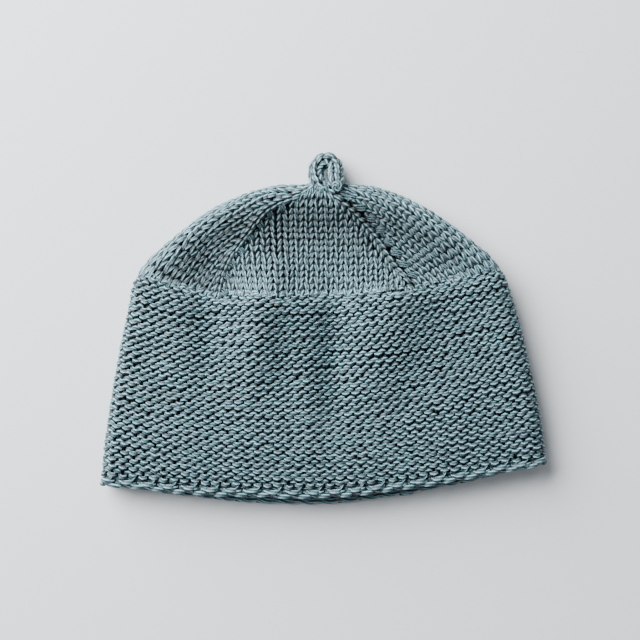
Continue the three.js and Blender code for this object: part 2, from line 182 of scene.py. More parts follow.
@dataclass
class HatForm:
    """The middle surface of the knitted fabric, in mm.

    A place on it is a level, and s, the share of the course's length from the left fold over the
    front layer to the right fold and back over the back layer. On one layer, w is the place along
    the course, from -1 at the left fold to 1 at the right fold.
    """

    wall: float = 3.4  # thickness of the fabric
    front_lift: float = 5.8  # how far the front layer's brim is drawn towards the apex in its middle
    back_lift: float = 2.0  # and the back layer's brim
    lift_level: float = 0.65  # where both have faded out
    lift_fade: float = 1.4  # how fast they fade
    lift_arch: float = 2.2  # how flat the lifted middle is
    back_rib: float = 0.54  # where the back wedge ends
    puff: float = 1.3  # how far the front layer bulges in the middle
    puff_reach: float = 45.0  # how far from the side folds it has its full height
    puff_levels: tuple[float, float] = (-0.1, 0.3)  # over which it rises from the brim
    fold_rim: tuple[float, float] = (2.0, 12.0)  # distance from the side folds over which soft folds rise
    dish: float = 3.4  # how far the crown's front layer sinks inside its rim
    dish_rim: tuple[float, float] = (4.0, 21.0)  # distance from the side folds over which it sinks
    dish_start: tuple[float, float] = (0.92, 1.18)  # levels over which it sinks above the welt
    dish_end: tuple[float, float] = (1.66, 1.95)  # and over which it comes up to the apex
    apex: tuple[float, float, float] = (-1.3, 62.2, 8.4)
    apex_radius: float = 3.4
    gather_start: float = 1.78  # level from which the courses close in on the apex
    lip_height: float = 0.9  # of the body's top edge over the crown
    lip_level: float = 0.94
    lip_width: float = 0.05  # in levels
    lip_drop: float = 0.2  # how far the crown starts below it
    drop_width: float = 0.12  # in levels
    rib_height: float = 0.8
    rib_width: float = 2.2
    rib_start: tuple[float, float] = (1.0, 1.06)  # levels over which the ribs rise
    rib_end: tuple[float, float] = (1.8, 1.95)  # and over which they fade
    facing_up: tuple[float, float] = (-0.1, 0.7)  # Z of the way out over which the lip and the ribs set in
    edge_level: float = 3.7 / BAND_HEIGHT  # of the lowest whole row of stitches
    lowest: float = -0.12  # level of the first sampled course
    level_step: float = 0.01
    across: int = 300  # samples of w over one layer
    around: int = 1056  # samples of s

    def __post_init__(self) -> None:
        """Samples the surface once, so that every later question is a look-up."""
        self.levels = np.arange(self.lowest, 2.0 + self.level_step / 2, self.level_step)
        rows = self.course(np.linspace(-0.1, 2.0, 106))
        self.fold_lines = tuple(
            np.stack([rows[f"{side}_x"], rows[f"{side}_y"]], axis=1) for side in ("left", "right"))
        w = -np.cos(np.pi * np.arange(self.across + 1) / self.across)
        self.front_s = np.zeros((len(self.levels), len(w)))
        self.back_s = np.zeros_like(self.front_s)
        self.lengths = np.zeros(len(self.levels))
        points = np.zeros((len(self.levels), self.around, 3))
        even = np.arange(self.around) / self.around
        for i, level in enumerate(self.levels):
            front, back = (self.layer_points(np.full(w.shape, level), w, layer) for layer in Layer)
            loop = np.concatenate([front, back[::-1][1:]])
            reach = arc_length(loop)
            self.lengths[i] = reach[-1]
            share = reach / reach[-1]
            self.front_s[i] = share[: len(w)]
            self.back_s[i] = share[len(w) - 1:][::-1]
            places = along_line(loop, share, even)
            closing = smoothstep(self.gather_start, 2.0, level)
            if closing > 0:
                places += closing * (self._ring(level, even) - places)
            points[i] = places
        along = np.roll(points, -1, axis=1) - np.roll(points, 1, axis=1)
        normals = unit(np.cross(along, np.gradient(points, axis=0)))
        normals[-1] = normals[-2]
        self.points, self.normals = (
            np.concatenate([table, table[:, :1]], axis=1) for table in (points, normals))

    def course(self, level: np.ndarray) -> dict[str, np.ndarray]:
        """The course table interpolated smoothly.

        Args:
            level: Levels, of any shape.

        Returns:
            An array of that shape for each column of the table.
        """
        level = np.asarray(level, float)
        table = np.array(COURSES)
        last = len(COURSES) - 2
        i = np.clip(np.searchsorted(table[:, 0], level, side="right") - 1, 0, last)
        before, after = np.maximum(i - 1, 0), np.minimum(i + 2, last + 1)
        span = table[i + 1, 0] - table[i, 0]
        t = (level - table[i, 0]) / span
        found = {}
        for column, name in enumerate(Course._fields):
            a, b = table[i, column], table[i + 1, column]
            slope_a = (b - table[before, column]) / (table[i + 1, 0] - table[before, 0])
            slope_b = (table[after, column] - a) / (table[after, 0] - table[i, 0])
            found[name] = (
                a * (2 * t**3 - 3 * t**2 + 1) + b * (3 * t**2 - 2 * t**3)
                + span * (slope_a * (t**3 - 2 * t**2 + t) + slope_b * (t**3 - t**2))
            )
        return found

    def fold_distance(self, x: np.ndarray, y: np.ndarray) -> np.ndarray:
        """Distance to the nearest side fold, seen from above.

        Args:
            x: Places across the hat.
            y: Places towards the apex.

        Returns:
            A distance for each place.
        """
        nearest = np.full(x.shape, np.inf)
        for line in self.fold_lines:
            start, step = line[:-1], np.diff(line, axis=0)
            from_x = x[:, None] - start[None, :, 0]
            from_y = y[:, None] - start[None, :, 1]
            t = np.clip((from_x * step[:, 0] + from_y * step[:, 1]) / (step**2).sum(axis=1), 0, 1)
            gap = np.hypot(from_x - t * step[:, 0], from_y - t * step[:, 1])
            nearest = np.minimum(nearest, gap.min(axis=1))
        return nearest

    def soft_folds(self, x: np.ndarray, y: np.ndarray) -> np.ndarray:
        """Height that the soft ridges and troughs add to the front layer.

        Args:
            x: Places across the hat.
            y: Places towards the apex.

        Returns:
            A height for each place.
        """
        height = np.zeros(x.shape)
        for fold in SOFT_FOLDS:
            lean = math.radians(fold.lean)
            dx, dy = x - fold.x, y - fold.y
            across = (dx * math.cos(lean) + dy * math.sin(lean)) / fold.half_width
            along = (dy * math.cos(lean) - dx * math.sin(lean)) / fold.half_length
            height += fold.height * np.exp(-(across**2) - along**2)
        return height

    def w_at(self, x: np.ndarray, level: np.ndarray) -> np.ndarray:
        """w of places across the hat, each on the course of its level."""
        course = self.course(level)
        return 2 * (x - course["left_x"]) / (course["right_x"] - course["left_x"]) - 1

    def plan(self, level: np.ndarray, w: np.ndarray, layer: Layer) -> tuple[np.ndarray, np.ndarray, dict]:
        """Where a place lies, seen from above.

        Args:
            level: Levels.
            w: Places along the course.
            layer: The front or the back layer.

        Returns:
            x, y and the course's row.
        """
        row = self.course(level)
        share = (w + 1) / 2
        x = row["left_x"] + (row["right_x"] - row["left_x"]) * share
        chord = row["left_y"] + (row["right_y"] - row["left_y"]) * share
        power = np.where(w < 0, row["left_power"], row["right_power"])
        reach = np.minimum(np.abs(w), 1)
        y = chord - row["sag"] * (1 - reach**power)
        fade = np.clip(1 - np.asarray(level, float) / self.lift_level, 0, 1) ** self.lift_fade
        lift = self.front_lift if layer is Layer.FRONT else self.back_lift
        return x, y + lift * fade * (1 - reach**self.lift_arch), row

    def layer_points(self, level: np.ndarray, w: np.ndarray, layer: Layer) -> np.ndarray:
        """Points of a layer before the apex draws them together.

        Args:
            level: Levels.
            w: Places along the course.
            layer: The front or the back layer.

        Returns:
            A point for each place.
        """
        x, y, row = self.plan(level, w, layer)
        distance = self.fold_distance(x, y)
        inward = np.maximum(row["roll"] - distance, 0)
        rise = np.sqrt(np.maximum(row["roll"] ** 2 - inward**2, 0))
        middle = self.wall / 2 + row["roll"]
        if layer is Layer.BACK:
            return np.stack([x, y, middle - rise], axis=1)
        puff = self.puff * smoothstep(row["roll"], self.puff_reach, distance)
        puff = puff * smoothstep(*self.puff_levels, level)
        folds = self.soft_folds(x, y) * smoothstep(*self.fold_rim, distance)
        inside = smoothstep(*self.dish_start, level) * (1 - smoothstep(*self.dish_end, level))
        folds -= self.dish * inside * smoothstep(*self.dish_rim, distance)
        return np.stack([x, y, middle + rise + puff + folds], axis=1)

    def _ring(self, level: float, s: np.ndarray) -> np.ndarray:
        """The drawn-up ring at the apex, a quarter of it for each wedge.

        Args:
            level: The course's level.
            s: Places round the course.

        Returns:
            A point of the ring for each place.
        """
        marks = self.rib_marks(np.array([level]))[0]
        ends = np.concatenate([marks[-1:] - 1, marks, marks[:1] + 1])
        quarter = np.interp(s, ends, np.array([-0.25, 0, 0.25, 0.5, 0.75, 1.0]))
        turn = 2 * np.pi * (quarter - 0.125)
        x = self.apex[0] + self.apex_radius * np.sin(turn)
        z = self.apex[2] + self.apex_radius * np.cos(turn)
        return np.stack([x, np.full(s.shape, self.apex[1]), z], axis=1)

    def rib_w(self, level: np.ndarray, side: Side, layer: Layer) -> np.ndarray:
        """w of the line between two wedges.

        Args:
            level: Levels.
            side: The left or the right line.
            layer: The layer that it lies on.

        Returns:
            w for each level.
        """
        if layer is Layer.BACK:
            return np.full(np.shape(level), self.back_rib * side.value)
        return self.course(level)["left_rib" if side is Side.LEFT else "right_rib"]

    def rib_marks(self, level: np.ndarray) -> np.ndarray:
        """s of the four lines between the wedges.

        Args:
            level: Levels.

        Returns:
            For each level the front left, front right, back right and back left line.
        """
        left, right, front, back = *Side, *Layer
        lines = ((left, front), (right, front), (right, back), (left, back))
        return np.stack(
            [self.s_of(level, self.rib_w(level, side, layer), layer) for side, layer in lines], axis=-1)

    def _row(self, level: np.ndarray) -> np.ndarray:
        """Row numbers of levels in the sampled tables."""
        return np.clip((np.asarray(level) - self.lowest) / self.level_step, 0, len(self.levels) - 1.001)

    def s_of(self, level: np.ndarray, w: np.ndarray, layer: Layer) -> np.ndarray:
        """The share s of the course's length.

        Args:
            level: Levels.
            w: Places along the course.
            layer: The layer that they lie on.

        Returns:
            s for each place.
        """
        table = self.front_s if layer is Layer.FRONT else self.back_s
        column = np.arccos(np.clip(-np.asarray(w, float), -1, 1)) / np.pi * self.across
        return bilinear(table, self._row(level), column)

    def look_up(self, level: np.ndarray, s: np.ndarray) -> tuple[np.ndarray, np.ndarray]:
        """Places on the middle surface.

        Args:
            level: Levels.
            s: Shares of the course's length.

        Returns:
            Points, and the unit vectors that lead out of the fabric there.
        """
        row, column = self._row(level), np.mod(s, 1.0) * self.around
        return bilinear(self.points, row, column), unit(bilinear(self.normals, row, column))

    def find(self, x: np.ndarray, y: np.ndarray) -> tuple[np.ndarray, np.ndarray, np.ndarray]:
        """The level and w of points seen from above, on the crown and the top of the body.

        Args:
            x: Places across the hat.
            y: Places towards the apex.

        Returns:
            Levels, w, and whether each point lies inside the outline.
        """
        levels = np.linspace(0.6, 2.0, 281)
        row = self.course(levels)
        high = np.minimum(
            np.interp(-x, -row["right_x"], levels), np.interp(x, row["left_x"], levels))
        low = np.full(x.shape, levels[0])

        def height(level: np.ndarray) -> np.ndarray:
            """y of the course at each x."""
            return self.plan(level, np.clip(self.w_at(x, level), -1, 1), Layer.FRONT)[1]

        inside = height(high) >= y
        for _ in range(32):
            middle = (low + high) / 2
            above = height(middle) > y
            high = np.where(above, middle, high)
            low = np.where(above, low, middle)
        level = (low + high) / 2
        return level, np.clip(self.w_at(x, level), -1, 1), inside

    def length_at(self, level: np.ndarray) -> np.ndarray:
        """Length of the course round the hat."""
        return np.interp(level, self.levels, self.lengths)

    def relief(self, level: np.ndarray, s: np.ndarray, on_crown: bool) -> np.ndarray:
        """Height of the lip over the welt, and of the ribs, on the layer that faces up.

        Args:
            level: Levels.
            s: Shares of the course's length.
            on_crown: Whether the places lie on the crown, or else on the body.

        Returns:
            A height for each place.
        """
        if not on_crown:
            return self.lip_height * bell(self.lip_level - level, self.lip_width)
        lip = -self.lip_drop * bell(np.maximum(level - 1, 0), self.drop_width)
        marks = self.rib_marks(np.clip(level, 1, 2))[:, :2]
        gap = np.abs(s[:, None] - marks).min(axis=1) * self.length_at(level)
        fade = smoothstep(*self.rib_start, level) * (1 - smoothstep(*self.rib_end, level))
        return lip + self.rib_height * fade * bell(gap, self.rib_width)

    def put(self, level: np.ndarray, s: np.ndarray, depth: np.ndarray,
            on_crown: bool = True) -> tuple[np.ndarray, np.ndarray]:
        """Places off the middle surface, the lip and the ribs included.

        Args:
            level: Levels.
            s: Shares of the course's length.
            depth: Distances out of the middle surface.
            on_crown: Whether the places lie on the crown, or else on the body.

        Returns:
            Points, and the unit vectors that lead out of the fabric there.
        """
        points, normals = self.look_up(level, s)
        up = smoothstep(*self.facing_up, normals[:, 2])
        return points + normals * (depth + up * self.relief(level, s, on_crown))[:, None], normals


# ------------------------------------------------------------------ patches of stitches
@dataclass
class Patch:
    """A stretch of fabric with its own columns and rows, both counted in stitches."""

    form: HatForm
    columns: np.ndarray  # evenly spaced
    rows: np.ndarray  # evenly spaced, towards the apex
    levels: np.ndarray  # the level at each row and column
    places: np.ndarray  # and s
    on_crown: bool = True
    lift: float = 0.0  # how far the whole patch stands proud, mm

    def put(self, column: np.ndarray, row: np.ndarray, depth: np.ndarray) -> tuple[np.ndarray, np.ndarray]:
        """Points of the patch, and the way out of the fabric there.

        Args:
            column: Columns, in stitches.
            row: Rows, in stitches towards the apex.
            depth: Distances out of the middle surface.

        Returns:
            The points in millimetres, and unit vectors.
        """
        u, v = (
            np.clip((at - even[0]) / (even[1] - even[0]), 0, len(even) - 1.001)
            for at, even in ((row, self.rows), (column, self.columns)))
        level, s = bilinear(self.levels, u, v), bilinear(self.places, u, v)
        return self.form.put(level, s, depth + self.lift, self.on_crown)


Ends = Callable[[float], tuple[float, float]]  # gives the first and the last column of a row


def marks(first: float, last: float) -> np.ndarray:
    """Columns of a crown patch's table, the last one included."""
    return np.arange(first, last + GRID_STEP / 2, GRID_STEP)


# ------------------------------------------------------------------ yarn and stitches
class Face(Enum):
    """Which side of stocking stitch looks outwards."""

    KNIT = -1
    PURL = 1


@dataclass(frozen=True)
class StitchShape:
    """The path of the yarn in one stitch. Its head points to the brim."""

    face: Face
    swing: float = 0.2  # how far the legs swing sideways, in stitch widths
    spread: float = 0.03  # how much wider the head is than the foot, in stitch widths
    half_height: float = 0.92  # in rows
    flatness: float = 0.0  # how much straighter than a wave the head and foot are
    depth: float = 0.72  # how far the yarn weaves in and out, mm
    plunge: float = 1.0  # how steeply it goes in and out
    head_rise: float = 0.1  # how much further out the head lies than the foot, mm
    swell: float = 0.06  # how much thicker the yarn is where it lies outside, share of its thickness
    points: int = 12  # points of the path in a stitch
    unevenness: float = 1.0  # 1 for hand knitting

    def trace(self, column: np.ndarray) -> tuple[np.ndarray, np.ndarray, np.ndarray, np.ndarray]:
        """The path over columns of stitches, with a foot at each whole number.

        Args:
            column: Places along the row, in stitches.

        Returns:
            Shifts along the row and across it, in stitches, depths in mm, and how far outside the yarn
            lies, from -1 to 1.
        """
        t = 2 * np.pi * (column - 0.5)
        sideways = self.swing * np.sin(2 * t) + self.spread * np.sin(t)
        across = -self.half_height * (np.cos(t) - self.flatness * np.cos(3 * t)) / (1 - self.flatness)
        outside = np.tanh(self.plunge * np.cos(2 * t)) / math.tanh(self.plunge) * self.face.value
        return sideways, across, self.depth * outside + self.head_rise * np.cos(t), outside


@dataclass
class Run:
    """One length of yarn: its centre line in mm, and what varies along it."""

    points: np.ndarray
    outward: np.ndarray  # the way out of the fabric
    closed: bool
    tone: np.ndarray  # -1 dark to 1 light
    painted_shade: np.ndarray  # painted shade, 0 to 1: how deep in the fabric the yarn lies, with more added where the crown lies in shade
    width: np.ndarray  # share of the yarn's usual thickness


@dataclass
class Knitter:
    """Works stitches along the rows of a patch, with the unevenness of hand knitting."""

    seed: int
    height_change: float = 0.06  # from stitch to stitch, share of its height
    side_shift: float = 0.045  # in stitch widths
    row_shift: float = 0.06  # in rows
    depth_shift: float = 0.10  # mm
    tone_change: float = 0.5
    width_change: float = 0.05  # share of the yarn's thickness

    def __post_init__(self) -> None:
        """Starts the fixed row of random numbers."""
        self.random = np.random.default_rng(self.seed)

    def _varied(self, column: np.ndarray, closed: bool, amount: float) -> np.ndarray:
        """A value for each stitch, blended from one to the next.

        Args:
            column: Places along the row, in stitches.
            closed: Whether the row joins up with itself.
            amount: How much the values vary.

        Returns:
            A value for each place.
        """
        first, last = int(np.floor(column.min())) - 1, int(np.ceil(column.max())) + 1
        values = self.random.normal(0, amount, last - first + 1)
        if closed:
            values[-3:] = values[:3]
        return np.interp(column - 0.5, np.arange(first, last + 1), values)

    def row(self, patch: Patch, row: float, start: float, stop: float, shape: StitchShape,
            closed: bool = False, pull: Callable[[np.ndarray], np.ndarray] | None = None,
            lean: Callable[[np.ndarray], np.ndarray] | None = None) -> Run:
        """One row of stitches.

        Args:
            patch: The patch of fabric.
            row: The row, in stitches towards the apex.
            start: The first column.
            stop: The column where the row ends.
            shape: The stitch.
            closed: Whether the row joins up with itself.
            pull: Gives for each column by how much the stitch is taller than usual.
            lean: Gives for each column how far the stitch rises to the right, in rows.

        Returns:
            The yarn of the row.
        """
        count = max(int(round((stop - start) * shape.points)), 3)
        column = np.linspace(start, stop, count + (not closed), endpoint=not closed)
        sideways, across, depth, outside = shape.trace(column)
        rough = shape.unevenness
        taller = 1 + self._varied(column, closed, self.height_change * rough)
        if pull is not None:
            taller = taller * pull(column)
        shift = self._varied(column, closed, self.side_shift * rough)
        lower = self._varied(column, closed, self.row_shift * rough)
        proud = self._varied(column, closed, self.depth_shift * rough)
        tone = self._varied(column, closed, self.tone_change)
        across = across * taller + lower
        if lean is not None:
            across = across + lean(column) * np.sin(4 * np.pi * (column - 0.5))
        points, outward = patch.put(column + sideways + shift, row + across, depth + proud)
        width = 1 + shape.swell * outside + self._varied(column, closed, self.width_change * rough)
        # The yarn is painted darker where it passes into the fabric: painted shade.
        return Run(points, outward, closed, tone, 0.5 - 0.5 * outside, width)


@dataclass(frozen=True)
class Yarn:
    """Cotton yarn of double knitting weight: strands twisted round each other."""

    radius: float = 0.98  # mm
    sides: int = 8  # two for each strand: its crest, and the valley beside it
    ply_depth: float = 0.11  # how far the valleys between the strands are cut in, share of the radius
    turns_per_mm: float = 0.035


def add_node(tree: bpy.types.NodeTree, kind: str, inputs: dict | None = None, **settings) -> bpy.types.Node:
    """Adds a node to a tree.

    Args:
        tree: The node tree.
        kind: The node's type name.
        inputs: A value, or another node's output, for each input socket by name or number.
        **settings: The node's own settings.

    Returns:
        The node.
    """
    node = tree.nodes.new(kind)
    for name, value in settings.items():
        setattr(node, name, value)
    for key, value in (inputs or {}).items():
        if isinstance(value, bpy.types.NodeSocket):
            tree.links.new(value, node.inputs[key])
        else:
            node.inputs[key].default_value = value
    return node


def new_tree(name: str, sockets: dict[str, str]) -> tuple[bpy.types.NodeTree, bpy.types.Node]:
    """A geometry node tree with named inputs.

    Args:
        name: The tree's name.
        sockets: The type of each input by its name.

    Returns:
        The tree, and its group input node.
    """
    tree = bpy.data.node_groups.new(name, "GeometryNodeTree")
    tree.interface.new_socket("Geometry", in_out="INPUT", socket_type="NodeSocketGeometry")
    for socket, kind in sockets.items():
        tree.interface.new_socket(socket, in_out="INPUT", socket_type=kind)
    tree.interface.new_socket("Geometry", in_out="OUTPUT", socket_type="NodeSocketGeometry")
    return tree, tree.nodes.new("NodeGroupInput")


def spun_yarn_tree() -> bpy.types.NodeTree:
    """Geometry nodes that spin yarn along paths: strands that wind round the centre line."""
    tree, given = new_tree(
        "Spun yarn",
        {
            "Yarn Radius": "NodeSocketFloat",
            "Ply Depth": "NodeSocketFloat",
            "Sides": "NodeSocketInt",
            "Material": "NodeSocketMaterial",
        },
    )
    turn, width, outward = (
        add_node(tree, "GeometryNodeInputNamedAttribute", {"Name": name}, data_type=kind)
        for name, kind in (("ply_turn", "FLOAT"), ("yarn_width", "FLOAT"), ("outward", "FLOAT_VECTOR")))
    path = add_node(tree, "GeometryNodeMeshToCurve", {"Mesh": given.outputs["Geometry"]})
    tilted = add_node(
        tree, "GeometryNodeSetCurveTilt",
        {"Curve": path.outputs["Curve"], "Tilt": turn.outputs["Attribute"]})
    circle = add_node(
        tree, "GeometryNodeCurvePrimitiveCircle",
        {"Resolution": given.outputs["Sides"], "Radius": given.outputs["Yarn Radius"]}, mode="RADIUS")
    index = add_node(tree, "GeometryNodeInputIndex")
    odd = add_node(tree, "ShaderNodeMath", {0: index.outputs["Index"], 1: 2.0}, operation="MODULO")
    marked = add_node(
        tree, "GeometryNodeStoreNamedAttribute",
        {"Geometry": circle.outputs["Curve"], "Name": "ply", "Value": odd.outputs["Value"]},
        data_type="FLOAT", domain="POINT")
    cut = add_node(
        tree, "ShaderNodeMath",
        {0: odd.outputs["Value"], 1: given.outputs["Ply Depth"]}, operation="MULTIPLY")
    keep = add_node(tree, "ShaderNodeMath", {0: 1.0, 1: cut.outputs["Value"]}, operation="SUBTRACT")
    place = add_node(tree, "GeometryNodeInputPosition")
    scaled = add_node(
        tree, "ShaderNodeVectorMath",
        {0: place.outputs["Position"], "Scale": keep.outputs["Value"]}, operation="SCALE")
    profile = add_node(
        tree, "GeometryNodeSetPosition",
        {"Geometry": marked.outputs["Geometry"], "Position": scaled.outputs["Vector"]})
    tube = add_node(
        tree, "GeometryNodeCurveToMesh",
        {
            "Curve": tilted.outputs["Curve"],
            "Profile Curve": profile.outputs["Geometry"],
            "Scale": width.outputs["Attribute"],
            "Fill Caps": True,
        })
    # How squarely the yarn's surface faces out of the fabric, which the finish reads to paint shade on the
    # flanks.
    normal = add_node(tree, "GeometryNodeInputNormal")
    facing = add_node(
        tree, "ShaderNodeVectorMath",
        {0: normal.outputs["Normal"], 1: outward.outputs["Attribute"]}, operation="DOT_PRODUCT")
    either = add_node(tree, "ShaderNodeMath", {0: facing.outputs["Value"]}, operation="ABSOLUTE")
    faced = add_node(
        tree, "GeometryNodeStoreNamedAttribute",
        {"Geometry": tube.outputs["Mesh"], "Name": "facing", "Value": either.outputs["Value"]},
        data_type="FLOAT", domain="POINT")
    smooth = add_node(
        tree, "GeometryNodeSetShadeSmooth", {"Geometry": faced.outputs["Geometry"], "Shade Smooth": True})
    real = add_node(tree, "GeometryNodeRealizeInstances", {"Geometry": smooth.outputs["Geometry"]})
    finished = add_node(
        tree, "GeometryNodeSetMaterial",
        {"Geometry": real.outputs["Geometry"], "Material": given.outputs["Material"]})
    add_node(tree, "NodeGroupOutput", {"Geometry": finished.outputs["Geometry"]})
    return tree


def socket_id(tree: bpy.types.NodeTree, name: str) -> str:
    """Identifier of a tree's named input."""
    return next(
        item.identifier for item in tree.interface.items_tree
        if item.in_out == "INPUT" and item.name == name)


def run_nodes(piece: bpy.types.Object, tree: bpy.types.NodeTree, values: dict[str, object]) -> None:
    """Runs a geometry node tree on an object and keeps the result as its plain mesh.

    Args:
        piece: The object.
        tree: The tree.
        values: A value for each of its named inputs.
    """
    modifier = piece.modifiers.new(tree.name, "NODES")
    modifier.node_group = tree
    for name, value in values.items():
        modifier[socket_id(tree, name)] = value
    bpy.context.view_layer.update()
    depsgraph = bpy.context.evaluated_depsgraph_get()
    evaluated = piece.evaluated_get(depsgraph)
    mesh = bpy.data.meshes.new_from_object(evaluated, preserve_all_data_layers=True, depsgraph=depsgraph)
    piece.modifiers.clear()
    piece.data = mesh
    mesh.name = piece.name


@dataclass
class Spinner:
    """Turns runs of yarn into finished pieces."""

    yarn: Yarn = Yarn()

    def __post_init__(self) -> None:
        """Builds the tree that every yarn shares."""
        self.tree = spun_yarn_tree()

    def centre_lines(self, name: str, runs: list[Run], thickness: float) -> bpy.types.Mesh:
        """The centre lines of lengths of yarn, with what the tree and the finish read along them.

        Args:
            name: The mesh's name.
            runs: The lengths of yarn.
            thickness: Share of the yarn's usual thickness.

        Returns:
            A mesh of edges.
        """
        points, outward, tone, painted_shade, width = (
            np.concatenate([getattr(run, part) for run in runs])
            for part in ("points", "outward", "tone", "painted_shade", "width"))
        width = width * thickness
        points[:, 2] = np.maximum(points[:, 2], self.yarn.radius * width)
        edges = []
        first = 0
        for run in runs:
            step = np.arange(first, first + len(run.points))
            pairs = np.stack([step, np.roll(step, -1)], axis=1)
            edges.append(pairs if run.closed else pairs[:-1])
            first += len(step)
        edges = np.concatenate(edges)
        mesh = bpy.data.meshes.new(name)
        mesh.vertices.add(len(points))
        mesh.vertices.foreach_set("co", (points * MM).astype(np.float32).ravel())
        mesh.edges.add(len(edges))
        mesh.edges.foreach_set("vertices", edges.astype(np.int32).ravel())
        values = {
            "ply_turn": np.concatenate([self._turns(run) for run in runs]),
            "yarn_width": width,
            "along": np.concatenate([arc_length(run.points) for run in runs]),
            "tone": tone,
            "painted_shade": painted_shade,
        }
        for key, value in values.items():
            mesh.attributes.new(key, "FLOAT", "POINT").data.foreach_set("value", value.astype(np.float32))
        mesh.attributes.new("outward", "FLOAT_VECTOR", "POINT").data.foreach_set(
            "vector", outward.astype(np.float32).ravel())
        return mesh

    def piece(self, name: str, runs: list[Run], finish: bpy.types.Material, slot: str,
              replaces: str, thickness: float = 1.0) -> bpy.types.Object:
        """One piece of knitting.

        Args:
            name: The piece's name.
            runs: Its lengths of yarn.
            finish: Its material.
            slot: The record's slot for its finish; not used.
            replaces: The CAD node that it stands for.
            thickness: Share of the yarn's usual thickness.

        Returns:
            The finished object.
        """
        piece = bpy.data.objects.new(name, self.centre_lines(name, runs, thickness))
        bpy.context.scene.collection.objects.link(piece)
        run_nodes(
            piece, self.tree,
            {
                "Yarn Radius": self.yarn.radius * MM,
                "Ply Depth": self.yarn.ply_depth,
                "Sides": self.yarn.sides,
                "Material": finish,
            })
        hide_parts(replaces)
        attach(piece, "root")
        LOG.info("%s: %d lengths of yarn, %d faces", name, len(runs), len(piece.data.polygons))
        return piece

    def _turns(self, run: Run) -> np.ndarray:
        """How far the strands have turned.

        Args:
            run: A length of yarn. Over a closed one they turn a whole number of times.

        Returns:
            An angle for each of its points.
        """
        loop = np.concatenate([run.points, run.points[:1]]) if run.closed else run.points
        reach = arc_length(loop)
        turns = reach[-1] * self.yarn.turns_per_mm
        if run.closed:
            turns = max(round(turns), 1)
        return (2 * np.pi * turns * reach / reach[-1])[: len(run.points)]


# ------------------------------------------------------------------ finishes
def linear(hex_colour: str) -> tuple[float, float, float, float]:
    """An sRGB hex colour as linear red, green, blue and alpha."""
    parts = [int(hex_colour[i:i + 2], 16) / 255 for i in (0, 2, 4)]
    red, green, blue = [v / 12.92 if v <= 0.04045 else ((v + 0.055) / 1.055) ** 2.4 for v in parts]
    return (red, green, blue, 1.0)


